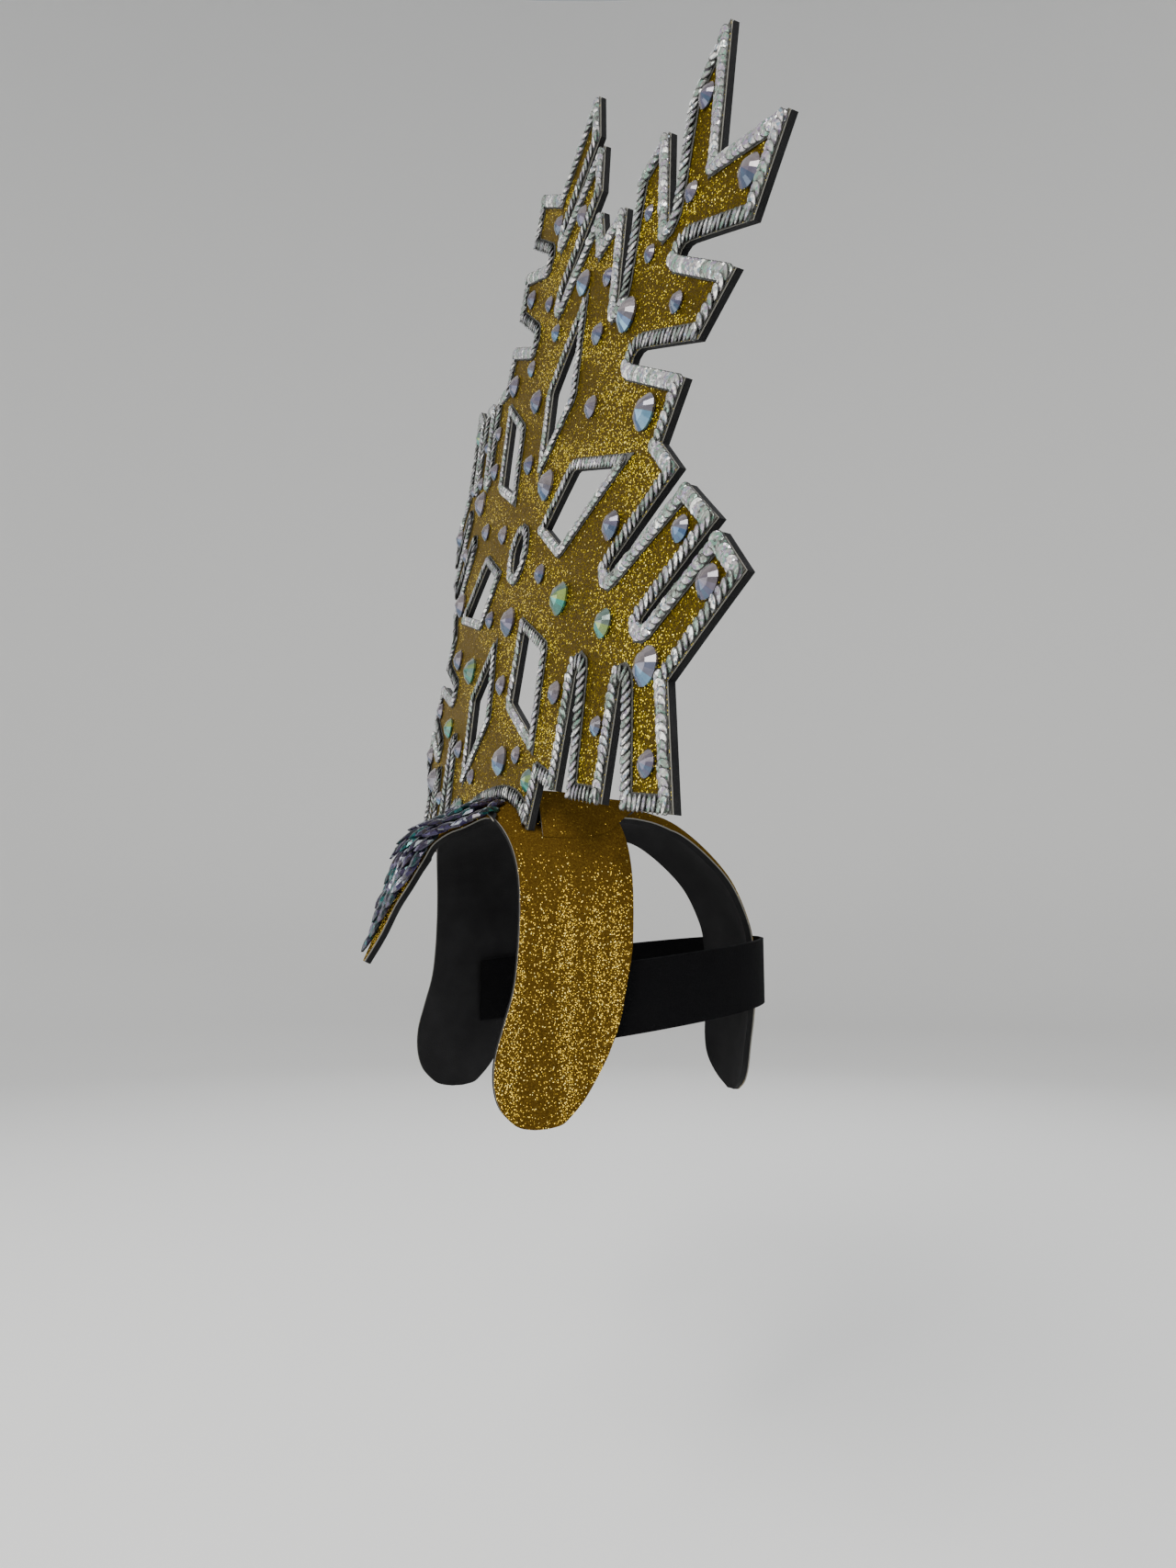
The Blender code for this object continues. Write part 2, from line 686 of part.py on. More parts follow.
def on_field(grid, along, across):
    """Point and its down, side and out directions at shares of a grid's length and width."""
    middle = [line[len(line) // 2] for line in grid]
    runs = [(after - spot).length for spot, after in zip(middle, middle[1:])]
    reach = along * sum(runs)
    row = 0
    while row < len(runs) - 1 and reach > runs[row]:
        reach -= runs[row]
        row += 1
    u = reach / runs[row]
    columns = len(grid[0]) - 1
    column = min(int((across + 1) / 2 * columns), columns - 1)
    v = (across + 1) / 2 * columns - column
    left = grid[row][column].lerp(grid[row + 1][column], u)
    right = grid[row][column + 1].lerp(grid[row + 1][column + 1], u)
    upper = grid[row][column].lerp(grid[row][column + 1], v)
    lower = grid[row + 1][column].lerp(grid[row + 1][column + 1], v)
    down = (lower - upper).normalized()
    out = down.cross(right - left).normalized()
    return left.lerp(right, v), down, out.cross(down), out


def add_leaf(shape, spot, run, side, out):
    """A leaf-shaped stone with a table and eight crown facets, sunk into its backing."""
    levels = (
        # height, share of the outline
        (-LEAF_BACKING / 2, 0.92),
        (LEAF_HEIGHT * 0.30, 1.00),
        (LEAF_HEIGHT, LEAF_TABLE),
    )
    rings = []
    for height, share in levels:
        rings.append([shape.verts.new(spot + out * height + run * (LEAF_LENGTH * share * long)
                                      + side * (LEAF_WIDTH * share * wide))
                      for long, wide in LEAF_OUTLINE])
    count = len(LEAF_OUTLINE)
    for lower, upper in zip(rings, rings[1:]):
        for index in range(count):
            after = (index + 1) % count
            shape.faces.new((lower[index], lower[after], upper[after], upper[index]))
    shape.faces.new(rings[0][::-1])
    shape.faces.new(rings[-1])


def build_leaves():
    """Field of overlapping leaf stones on a thin backing, one body."""
    grid = leaf_field()
    backing = shell_mesh(grid, [LEAF_BACKING] * len(grid))
    field = add_object("peak_stones", backing, STONE_GLASS)
    shape = bmesh.new()
    for along, count, spread, fan in LEAF_ROWS:
        for index in range(count):
            across = spread * (2 * index / (count - 1) - 1) if count > 1 else 0.0
            spot, down, side, out = on_field(grid, along, across)
            spot = spot + out * (0.4 * LEAF_LENGTH * math.sin(LEAF_LIFT))
            turn = math.radians(fan) * across
            run = down * math.cos(turn) + side * math.sin(turn)
            lifted = run * math.cos(LEAF_LIFT) + out * math.sin(LEAF_LIFT)
            upright = out * math.cos(LEAF_LIFT) - run * math.sin(LEAF_LIFT)
            add_leaf(shape, spot, lifted, upright.cross(lifted), upright)
    leaves = add_object("leaf_stones_to_join", shape, STONE_GLASS)
    leaves.hide_render = True
    leaves.display_type = "WIRE"
    join = field.modifiers.new("leaves", "BOOLEAN")
    join.operation = "UNION"
    join.solver = "EXACT"
    join.use_self = True
    join.object = leaves
    return field


def band_spine():
    """The rear band's outer centre line and half widths."""
    root = SADDLE_MIDDLE + SADDLE_BACK * LAPPET_WIDTH + GAP
    return [(root + back * BAND_REACH, CAP_FOAM - down * BAND_DROP, wide * BAND_HALF_WIDTH)
            for back, down, wide in BAND_STATIONS]


def build_band():
    """Rear band and nape tab."""
    grid = tongue_grid(band_spine(), 6, 1, BAND_ROUNDNESS)
    shape = shell_mesh(grid, [CAP_FOAM] + [BAND_FOAM] * (len(grid) - 1), square_root=True)
    return add_object("rear_band", shape, GOLD_CLOTH, smooth=True)


def flap_grid():
    """Outer points of the raised flap, from the crest's back to its tail."""
    crown = CAP_FOAM + FLAP_RISE + FLAP_CLOTH
    grid = []
    for along, *station in FLAP_STATIONS:
        crease, edge = station[0] * FLAP_CREASE, station[1] * FLAP_EDGE
        middle, fold = [crown - share * FLAP_FALL for share in station[2:]]
        hem = min(saddle_height(edge) + 3 * FLAP_HEM, fold - FLAP_HEM)
        half = [(0.0, middle)]
        for share in (0.4, 0.75, 1.0):
            half.append((crease * share, middle + (fold - middle) * share ** 2))
        half.append((edge, hem))
        line = []
        for x, z in half[::-1] + [(-x, z) for x, z in half[1:]]:
            front = CREST_SETBACK + (crown - CREST_HEIGHT) * math.tan(CREST_LEAN)
            front += crest_sag(x) - BOARD_BACK / math.cos(CREST_LEAN) + 2 * GAP
            line.append(Vector((x, front + along * FLAP_LENGTH, z)))
        grid.append(line)
    return grid


def build_flap():
    """Raised cloth-covered piece behind the crest."""
    grid = flap_grid()
    shape = shell_mesh(grid, [FLAP_CLOTH] * len(grid), rim_wall=FLAP_HEM)
    return add_object("crown_flap", shape, GOLD_CLOTH)


def strap_grid():
    """Outer points of the elastic, from the near lappet round the back to the far one."""
    low_share = (STRAP_FRONT_DROP + STRAP_WIDTH / 2 - SHOULDER_RISE) / LAPPET_DROP
    side = CAP_HALF_WIDTH - LAPPET_TUCK * low_share ** 2 - CAP_FOAM - GAP
    back = max(y for y, _, _ in band_spine()) + GAP + STRAP_CLOTH
    steps = 30
    grid = []
    for step in range(steps + 1):
        turn = math.pi * step / steps
        reach_x = abs(math.cos(turn)) ** (2 / STRAP_POWER) * math.copysign(1, math.cos(turn))
        reach_y = abs(math.sin(turn)) ** (2 / STRAP_POWER)
        rise = (STRAP_FRONT_DROP - STRAP_BACK_DROP) * reach_y
        middle = CAP_FOAM - STRAP_FRONT_DROP + rise
        x, y = side * reach_x, SADDLE_MIDDLE + (back - SADDLE_MIDDLE) * reach_y
        grid.append([Vector((x, y, middle - STRAP_WIDTH / 2)),
                     Vector((x, y, middle + STRAP_WIDTH / 2))])
    return grid


def build_strap():
    """Wide elastic round the back of the head."""
    grid = strap_grid()
    shape = shell_mesh(grid, [STRAP_CLOTH] * len(grid))
    return add_object("elastic_strap", shape, ELASTIC, smooth=True)


build_crest()
build_saddle()
build_flap()
build_peak()
build_leaves()
build_band()
build_strap()
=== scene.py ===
"""Looks of the carnival crown: gold glitter cloth, sequin bands and stones on black foam."""

import math
import random

import bmesh
import bpy
from mathutils import Matrix, Vector
from mathutils.geometry import delaunay_2d_cdt


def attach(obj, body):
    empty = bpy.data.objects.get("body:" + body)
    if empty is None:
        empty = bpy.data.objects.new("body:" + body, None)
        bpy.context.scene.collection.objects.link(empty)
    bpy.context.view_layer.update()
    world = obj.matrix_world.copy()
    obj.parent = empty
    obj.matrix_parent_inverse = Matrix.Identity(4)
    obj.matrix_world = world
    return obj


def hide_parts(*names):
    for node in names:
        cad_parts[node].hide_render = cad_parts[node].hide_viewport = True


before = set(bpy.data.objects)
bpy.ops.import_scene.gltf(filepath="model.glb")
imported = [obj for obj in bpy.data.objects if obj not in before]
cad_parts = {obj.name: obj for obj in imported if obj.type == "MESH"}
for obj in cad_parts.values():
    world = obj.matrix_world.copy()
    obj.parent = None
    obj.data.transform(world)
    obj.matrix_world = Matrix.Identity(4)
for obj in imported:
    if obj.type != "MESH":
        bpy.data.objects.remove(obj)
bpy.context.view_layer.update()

# The camera stands low on the crown's left and looks up a little at the crest's face.
# A pale round sweep lies well below the cap, and the crown hangs free above it as if worn.
CAMERA_PLACE = Vector((0.5705, -0.1826, -0.0648))
CAMERA_RIGHT = Vector((0.36103, 0.93255, 0.0))
CAMERA_UP = Vector((0.12111, -0.04689, 0.99153))
FRAME_HEIGHT = 1707
FOCUS_IN_PIXELS = 1200
SENSOR_HEIGHT = 36.0
FLOOR_HEIGHT = -0.420
SWEEP_PROFILE = ((0.0, 0.0), (2.4, 0.0), (2.9, 0.07), (3.3, 0.32), (3.5, 0.8), (3.55, 4.2))
SOFT_LIGHTS = (
    # name, place, width, watts, colour
    ("key", (0.95, -1.25, 1.45), 0.9, 34, (1.0, 0.985, 0.96)),
    ("fill", (1.5, 1.1, 0.75), 1.4, 14, (0.93, 0.96, 1.0)),
    ("back", (-1.3, 0.9, 1.3), 1.3, 20, (0.96, 0.98, 1.0)),
    ("low front", (-0.6, -1.6, 0.2), 1.2, 10, (1.0, 1.0, 1.0)),
    ("glint", (0.70, -0.62, 0.42), 0.10, 2.6, (1.0, 0.97, 0.9)),
)
LIGHTS_AIM = Vector((0.0, 0.0, 0.10))
ROOM_COLOR = (0.93, 0.96, 1.0, 1.0)
ROOM_STRENGTH = 0.42
SWEEP_SIDES = 96


def fill(node, inputs):
    """Gives a node's inputs their values, or links them to outputs of other nodes.

    A node that is given as a value stands for its first output.
    """
    for label, value in inputs.items():
        if isinstance(value, bpy.types.Node):
            value = value.outputs[0]
        if isinstance(value, bpy.types.NodeSocket):
            node.id_data.links.new(value, node.inputs[label])
        else:
            node.inputs[label].default_value = value
    return node


def plain_finish(name, color, roughness, metallic=0.0):
    """A new material and its shader, with even values set on the shader itself."""
    material = bpy.data.materials.new(name)
    material.use_nodes = True
    shader = fill(material.node_tree.nodes["Principled BSDF"], {
        "Base Color": (*color, 1.0), "Roughness": roughness, "Metallic": metallic})
    return material, shader


def put_in_scene(name, data):
    """A new object in the scene, at the origin and unturned."""
    thing = bpy.data.objects.new(name, data)
    bpy.context.scene.collection.objects.link(thing)
    return thing


view = bpy.data.cameras.new("photo_view")
view.sensor_fit = "VERTICAL"
view.sensor_height = SENSOR_HEIGHT
view.lens = SENSOR_HEIGHT * FOCUS_IN_PIXELS / FRAME_HEIGHT
view.clip_start = 0.01
camera = put_in_scene("photo_view", view)
turn = Matrix((CAMERA_RIGHT, CAMERA_UP, CAMERA_RIGHT.cross(CAMERA_UP))).transposed()
camera.matrix_world = Matrix.Translation(CAMERA_PLACE) @ turn.to_4x4()
bpy.context.scene.camera = camera

for name, place, width, watts, color in SOFT_LIGHTS:
    lamp = bpy.data.lights.new(name, "AREA")
    lamp.size = width
    lamp.energy = watts
    lamp.color = color
    light = put_in_scene(name, lamp)
    light.location = place
    light.rotation_euler = (LIGHTS_AIM - Vector(place)).to_track_quat("-Z", "Y").to_euler()

room_air = bpy.data.worlds.new("room")
room_air.use_nodes = True
fill(room_air.node_tree.nodes["Background"], {"Color": ROOM_COLOR, "Strength": ROOM_STRENGTH})
bpy.context.scene.world = room_air

sweep_points = []
sweep_faces = []
for side in range(SWEEP_SIDES):
    angle = 2 * math.pi * side / SWEEP_SIDES
    sweep_points += [(reach * math.cos(angle), reach * math.sin(angle), FLOOR_HEIGHT + rise)
                     for reach, rise in SWEEP_PROFILE]
rings = len(SWEEP_PROFILE)
for side in range(SWEEP_SIDES):
    here, there = side * rings, (side + 1) % SWEEP_SIDES * rings
    for ring in range(rings - 1):
        sweep_faces.append((here + ring, here + ring + 1, there + ring + 1, there + ring))
sweep_mesh = bpy.data.meshes.new("sweep")
sweep_mesh.from_pydata(sweep_points, [], sweep_faces)
sweep_mesh.shade_smooth()
sweep_mesh.materials.append(plain_finish("pale_sweep", (0.88, 0.875, 0.86), 0.9)[0])
put_in_scene("sweep", sweep_mesh)

# Crest board: black closed-cell foam sheet, cut by hand into a six-armed snowflake with six
# windows, an eye and slots, and bent back a little towards its sides. Its back is bare foam.
CREST_HEIGHT = 0.143
CREST_SETBACK = -0.003
CREST_LEAN = math.radians(6.7)
WING_SWEEP = 0.0150
ARM = 0.230
GLITTER_CLOTH = 0.0006
GAP = 0.0003
FOAM_BOARD = 0.0028
BOARD_TOP = -GLITTER_CLOTH - GAP
BOARD_BACK = BOARD_TOP - FOAM_BOARD
PLATE_PITCH = 0.0075        # between the points that let a sheet bend smoothly
FOAM_EDGE_ROUND = 0.00035
FOAM_PORES = 1500           # pores and rubbed spots to a metre
FOAM_WEAR = 60
PIT_DEPTH = 0.0003
SPECK = 1e-5                # points closer than this are one


def on_crest(x, y, out=0.0):
    """World point of a crest point: sideways, up the crest, and out of its face."""
    normal = out - WING_SWEEP * (x / ARM) ** 2
    return Vector((
        x,
        CREST_SETBACK + y * math.sin(CREST_LEAN) - normal * math.cos(CREST_LEAN),
        CREST_HEIGHT + y * math.cos(CREST_LEAN) + normal * math.sin(CREST_LEAN),
    ))


def crest_place(point):
    """Sideways, up and out of the face, the other way round from on_crest."""
    across, up = point.y - CREST_SETBACK, point.z - CREST_HEIGHT
    normal = up * math.sin(CREST_LEAN) - across * math.cos(CREST_LEAN)
    return Vector((
        point.x,
        across * math.sin(CREST_LEAN) + up * math.cos(CREST_LEAN),
        normal + WING_SWEEP * (point.x / ARM) ** 2,
    ))


def crest_frame(x, y):
    """Sideways, up and out directions of the crest's face at a point."""
    step = 0.001
    side = (on_crest(x + step, y) - on_crest(x - step, y)).normalized()
    up = (on_crest(x, y + step) - on_crest(x, y - step)).normalized()
    return side, up, side.cross(up).normalized()


def sides_of(loop):
    """Each corner of a closed line with the corner after it."""
    return zip(loop, loop[1:] + loop[:1])


def area_of(loop):
    """Signed area of a flat outline, positive when it runs anticlockwise."""
    return sum(a.x * b.y - b.x * a.y for a, b in sides_of(loop)) / 2


def front_loops(node):
    """The outline and the holes in the front face of a packed crest sheet, outline first."""
    sheet = bmesh.new()
    sheet.from_mesh(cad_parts[node].data)
    bmesh.ops.remove_doubles(sheet, verts=sheet.verts, dist=SPECK)
    places = {vert: crest_place(vert.co) for vert in sheet.verts}
    top = max(place.z for place in places.values())
    front = [face for face in sheet.faces
             if all(abs(places[vert].z - top) < 20 * SPECK for vert in face.verts)]
    inside = set(front)
    follow = {}
    for face in front:
        for corner in face.loops:
            if corner.link_loop_radial_next.face not in inside:
                follow[corner.vert] = corner.link_loop_next.vert
    loops = []
    while follow:
        start = next(iter(follow))
        loop, vert = [], start
        while vert in follow:
            loop.append(places[vert].to_2d())
            vert = follow.pop(vert)
        loops.append(loop if area_of(loop) > 0 else loop[::-1])
    sheet.free()
    return sorted(loops, key=area_of, reverse=True)


def stepped(loop, pitch):
    """The same outline with points no further apart than a pitch."""
    points = []
    for start, end in sides_of(loop):
        count = max(1, math.ceil((end - start).length / pitch))
        points += [start.lerp(end, step / count) for step in range(count)]
    return points


def add_piece(name, shape, finishes, smooth_under=40):
    """Makes a bmesh one named piece that is smooth up to an angle in degrees."""
    mesh = bpy.data.meshes.new(name)
    shape.to_mesh(mesh)
    shape.free()
    for finish in finishes:
        mesh.materials.append(finish)
    mesh.shade_smooth()
    mesh.set_sharp_from_angle(angle=math.radians(smooth_under))
    return put_in_scene(name, mesh)


def bent_sheet(name, loops, low, high, finishes, rim_finish=0):
    """A sheet between two distances out of the crest's face, inside an odd number of loops."""
    loops = [stepped(loop, PLATE_PITCH) for loop in loops]
    faces, points = [], []
    for loop in loops:
        faces.append(list(range(len(points), len(points) + len(loop))))
        points += loop
    xs = [point.x for point in points]
    ys = [point.y for point in points]
    for row in range(int((max(ys) - min(ys)) / PLATE_PITCH) + 1):
        for column in range(int((max(xs) - min(xs)) / PLATE_PITCH) + 1):
            points.append(Vector((min(xs) + (column + row % 2 / 2) * PLATE_PITCH,
                                  min(ys) + row * PLATE_PITCH)))
    scaled = [point / ARM for point in points]
    corners, _, triangles, _, _, owners = delaunay_2d_cdt(scaled, [], faces, 0, SPECK)
    shape = bmesh.new()
    upper = [shape.verts.new(on_crest(p.x * ARM, p.y * ARM, high)) for p in corners]
    lower = [shape.verts.new(on_crest(p.x * ARM, p.y * ARM, low)) for p in corners]
    edges = set()
    for triangle, owner in zip(triangles, owners):
        if len(owner) % 2:
            shape.faces.new([upper[i] for i in triangle])
            shape.faces.new([lower[i] for i in reversed(triangle)])
            edges.update(sides_of(triangle))
    for start, end in edges:
        if (end, start) not in edges:
            rim = shape.faces.new((lower[start], lower[end], upper[end], upper[start]))
            rim.material_index = rim_finish
    bmesh.ops.delete(shape, geom=[v for v in shape.verts if not v.link_faces], context="VERTS")
    return add_piece(name, shape, finishes)


def rounded(piece, width):
    """Softens a piece's corners that are sharper than 50 degrees."""
    bevel = piece.modifiers.new("soft_edge", "BEVEL")
    bevel.width = width
    bevel.segments = 2
    bevel.limit_method = "ANGLE"
    bevel.angle_limit = math.radians(50)
    bevel.use_clamp_overlap = True
    return piece


def worn(piece, slot, *nodes):
    """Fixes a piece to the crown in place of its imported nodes, if it has any."""
    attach(piece, "root")
    if nodes:
        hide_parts(*nodes)


def add_node(tree, kind, inputs=None, **settings):
    """Adds a node, sets its own properties and fills its inputs."""
    node = tree.nodes.new(kind)
    for key, value in settings.items():
        setattr(node, key, value)
    return fill(node, inputs or {})


def object_grain(tree, kind, scale, detail=None):
    """A texture node of one scale that reads the piece's own coordinates."""
    place = add_node(tree, "ShaderNodeTexCoord")
    node = add_node(tree, kind, {"Scale": scale, "Vector": place.outputs["Object"]})
    return node if detail is None else fill(node, {"Detail": detail})


def color_steps(tree, source, steps):
    """A colour ramp over a value, given as position and colour."""
    ramp = add_node(tree, "ShaderNodeValToRGB", {"Fac": source})
    while len(ramp.color_ramp.elements) < len(steps):
        ramp.color_ramp.elements.new(0.5)
    for element, (position, color) in zip(ramp.color_ramp.elements, steps):
        element.position = position
        element.color = (*color, 1.0)
    return ramp


def pitted(tree, cells, strength):
    """The surface's direction over fine pits, one in each cell of a texture."""
    return add_node(tree, "ShaderNodeBump", {
        "Strength": strength, "Distance": PIT_DEPTH, "Height": cells})


def foam_finish(name, color):
    """Closed-cell foam: matt, finely pored, a little paler where it is rubbed."""
    material, shader = plain_finish(name, color, 0.85)
    tree = material.node_tree
    rubbed = tuple(1.6 * part + 0.003 for part in color)
    wear = object_grain(tree, "ShaderNodeTexNoise", FOAM_WEAR, 6)
    pores = object_grain(tree, "ShaderNodeTexVoronoi", FOAM_PORES)
    fill(shader, {
        "Specular IOR Level": 0.18, "Normal": pitted(tree, pores, 0.35),
        "Base Color": color_steps(tree, wear, ((0.35, color), (0.75, rubbed)))})
    return material


BLACK_FOAM = foam_finish("black_foam", (0.006, 0.006, 0.0065))
crest_loops = front_loops("crest_face")
crest_board = rounded(bent_sheet("crest_foam", crest_loops, BOARD_BACK, BOARD_TOP,
                                 [BLACK_FOAM]), FOAM_EDGE_ROUND)
worn(crest_board, "black_foam", "crest_board")

# Crest cloth: gold glitter cloth glued to the whole front of the board. Its flakes lie at all
# angles in a clear coat over an olive ground, and its cut edge shows the pale backing. Its
# brightest flakes are painted glints that glow of themselves, in painted streaks of sheen.
FLAKE = 0.00050             # across one glitter flake
PAINTED_GLINT_GLOW = 1.0                 # painted glints: how strongly the brightest flakes glow of themselves, with no lamp behind them
BACKING = (0.17, 0.165, 0.145)
GLINT_STREAK_LOW, GLINT_STREAK_HIGH = 0.42, 0.60        # of the painted sheen streaks' noise, thinnest and thickest
SPARK_LEAST, SPARK_SPREAD = 0.20, 0.24  # reach of a painted glint, as shares of its room


def shuffled(cells):
    """A random colour for each cell of a texture, which says nothing of the cell's place."""
    dice = add_node(cells.id_data, "ShaderNodeTexWhiteNoise", {
        "Vector": cells.outputs["Color"]}, noise_dimensions="3D")
    return dice.outputs["Color"]


def tilted_normal(tree, chances, amount):
    """The surface's direction, tipped at random by a colour that differs in each cell."""
    centred = add_node(tree, "ShaderNodeVectorMath", {0: chances, 1: (0.5, 0.5, 0.5)},
                       operation="SUBTRACT")
    scaled = add_node(tree, "ShaderNodeVectorMath", {0: centred, "Scale": amount},
                      operation="SCALE")
    surface = add_node(tree, "ShaderNodeNewGeometry").outputs["Normal"]
    added = add_node(tree, "ShaderNodeVectorMath", {0: surface, 1: scaled}, operation="ADD")
    return add_node(tree, "ShaderNodeVectorMath", {0: added}, operation="NORMALIZE")


def reckoned(tree, operation, *values):
    """One step of arithmetic on numbers or other nodes' outputs."""
    return add_node(tree, "ShaderNodeMath", dict(enumerate(values)), operation=operation)


def soft_bands(tree, turn, stretch, detail):
    """Streaks from 0 to 1, the mask of painted sheen: noise turned about Y and stretched along the
    piece's own axes.
    """
    place = add_node(tree, "ShaderNodeTexCoord").outputs["Object"]
    drawn = add_node(tree, "ShaderNodeMapping", {
        "Vector": place, "Rotation": (0.0, turn, 0.0), "Scale": stretch},
        vector_type="TEXTURE")
    return add_node(tree, "ShaderNodeTexNoise", {
        "Vector": drawn, "Scale": 1.0, "Detail": detail})


def by_place(tree, value, axis, thin, full, least):
    """A value brought down to its least share at one place along an axis, whole at another."""
    place = add_node(tree, "ShaderNodeTexCoord").outputs["Object"]
    parts = add_node(tree, "ShaderNodeSeparateXYZ", {"Vector": place})
    fade = add_node(tree, "ShaderNodeMapRange", {
        "Value": parts.outputs[axis], "From Min": thin, "From Max": full, "To Min": least},
        interpolation_type="SMOOTHSTEP")
    return reckoned(tree, "MULTIPLY", value, fade)


def glitter_finish(name, colors, gloss, spark, glint_streaks, share, glint_fade):
    """Glitter cloth: a ground of dull flakes, with painted glints that crowd in painted streaks of
    sheen.

    The glints are flakes painted bright that glow of themselves. Colors are the ground, a dull, a
    gold, a bright and a glaring flake. Spark is the room of each glint. Glint streaks are the
    turn, stretch and detail of the painted sheen streaks, and share the part of the glints that
    shows in the thinnest and in the thickest of them. A glint fade is the axis they thin out
    along, where they are thin and where full, and the least share.
    """
    ground, dull, gold, glint_bright, glare = colors
    material, shader = plain_finish(name, ground, 0.42, gloss)
    tree = material.node_tree
    shade = tuple(0.75 * part for part in ground)
    flakes = shuffled(object_grain(tree, "ShaderNodeTexVoronoi", 1 / FLAKE))
    chance = add_node(tree, "ShaderNodeSeparateColor", {"Color": flakes})
    tones = color_steps(tree, chance.outputs["Red"],
                        ((0.0, shade), (0.5, ground), (0.93, dull), (1.0, gold)))
    sparks = object_grain(tree, "ShaderNodeTexVoronoi", 1 / spark)
    pick = add_node(tree, "ShaderNodeSeparateColor", {"Color": shuffled(sparks)})
    glint_crowd = add_node(tree, "ShaderNodeMapRange", {
        "Value": soft_bands(tree, *glint_streaks), "From Min": GLINT_STREAK_LOW, "From Max": GLINT_STREAK_HIGH,
        "To Min": share[0], "To Max": share[1]})
    glint_shown = by_place(tree, glint_crowd, *glint_fade)
    # Painted glints: flakes chosen to show bright, more of them inside the painted sheen streaks.
    reach = reckoned(tree, "MULTIPLY_ADD", pick.outputs["Blue"], SPARK_SPREAD, SPARK_LEAST)
    lit = reckoned(tree, "MULTIPLY", reckoned(tree, "LESS_THAN", pick.outputs["Red"], glint_shown),
                   reckoned(tree, "LESS_THAN", sparks, reach))
    glint_hues = color_steps(tree, pick.outputs["Green"], (
        (0.0, gold), (0.40, glint_bright), (0.75, glint_bright), (1.0, glare)))
    mixed = add_node(tree, "ShaderNodeMix", {"Factor": lit, 6: tones, 7: glint_hues},
                     data_type="RGBA")
    # Painted glow: the glint flakes shine of themselves in their own hue, as if throwing back a
    # lamp.
    painted_glow = add_node(tree, "ShaderNodeVectorMath", {0: glint_hues, "Scale": lit}, operation="SCALE")
    fill(shader, {
        "Specular IOR Level": gloss / 3, "Specular Tint": (1.0, 0.66, 0.12, 1.0),
        "Base Color": mixed.outputs[2], "Emission Color": painted_glow,
        "Emission Strength": PAINTED_GLINT_GLOW, "Normal": tilted_normal(tree, flakes, 0.6)})
    return material


# Crest cloth: painted glints in slanting painted sheen streaks, thinned to a third towards -X as
# painted light.
GOLD_GLITTER = glitter_finish("gold_glitter", (
    (0.047, 0.031, 0.0011), (0.092, 0.063, 0.0014), (0.32, 0.23, 0.005), (0.95, 0.74, 0.05),
    (1.0, 0.90, 0.36)), 0.45, 0.00088, (math.radians(27), (0.120, 0.08, 0.022), 1.5),
    (0.07, 0.60), ("X", -0.180, 0.160, 0.35))
CLOTH_BACKING, _ = plain_finish("cloth_backing", BACKING, 0.8)
crest_cloth = bent_sheet("crest_cloth", crest_loops, BOARD_TOP + GAP, 0.0,
                         [GOLD_GLITTER, CLOTH_BACKING], rim_finish=1)
worn(crest_cloth, "gold_cloth", "crest_face")

# Sequin bands: cup sequins strung one over the next like fallen tiles, sewn and glued along
# every edge of the crest's front on a grey net tape. Their film throws back silver with flecks
# of mint, lilac and rose, with painted highlights in its whitest cells. The rim of each is
# painted near-black: painted shadow where it lies against the next.
TRIM_RISE = 0.0020
TAPE_NET = 0.0003
OVERHANG = 0.0006           # how far the line of stitches lies outside the tape's middle
SEQUIN_PITCH = 0.0037
SEQUIN_RIM = 0.91           # the rim and the flat middle, as shares of the width
SEQUIN_MIDDLE = 0.44
RIM_DEPTH = 0.00034
CUP_DEPTH = 0.00060
EDGE_SEQUINS = (0.0077, 0.0070, 19)         # width, tape under them, tilt in degrees
WINDOW_SEQUINS = (0.0061, 0.0054, 14)
SEQUIN_LOOSENESS = math.radians(5)
SEQUIN_SIDES = 14
FILM_CELLS = 800            # cells and threads to a metre
NET_THREADS = 1300
STITCH = (0.0019, 0.00045, 0.00035)
CORNER = math.radians(50)   # a band turns further than this by starting a new run


def inset(loop, distance):
    """Moves an anticlockwise outline inwards, dropping edges too short to survive."""
    edges = []
    for start, end in sides_of(loop):
        run = (end - start).normalized()
        edges.append((start + distance * Vector((-run.y, run.x)), run))
    while True:
        corners = []
        for (base, run), (next_base, next_run) in zip(edges[-1:] + edges[:-1], edges):
            turn = run.cross(next_run)
            if abs(turn) < 1e-3:
                corners.append(next_base)
            else:
                corners.append(base + run * ((next_base - base).cross(next_run) / turn))
        kept = [edge for edge, (start, end) in zip(edges, sides_of(corners))
                if (end - start).dot(edge[1]) > 0.0]
        if len(kept) == len(edges):
            return corners
        edges = kept


def runs_of(loop):
    """Splits a closed line into runs between its sharp corners."""
    count = len(loop)
    sharp = []
    for index in range(count):
        before = loop[index] - loop[index - 1]
        after = loop[(index + 1) % count] - loop[index]
        if before.angle(after) > CORNER:
            sharp.append(index)
    if not sharp:
        return [loop + loop[:1]]
    runs = []
    for start, end in zip(sharp, sharp[1:] + [sharp[0] + count]):
        runs.append([loop[index % count] for index in range(start, end + 1)])
    return runs


def grown(piece, tree, values):
    """Runs a tree over a piece once and keeps the result as a plain mesh."""
    modifier = piece.modifiers.new(tree.name, "NODES")
    modifier.node_group = tree
    for item in tree.interface.items_tree:
        if item.name in values:
            modifier[item.identifier] = values[item.name]
    layer = bpy.context.evaluated_depsgraph_get()
    mesh = bpy.data.meshes.new_from_object(piece.evaluated_get(layer))
    piece.modifiers.remove(modifier)
    piece.data = mesh
    return piece


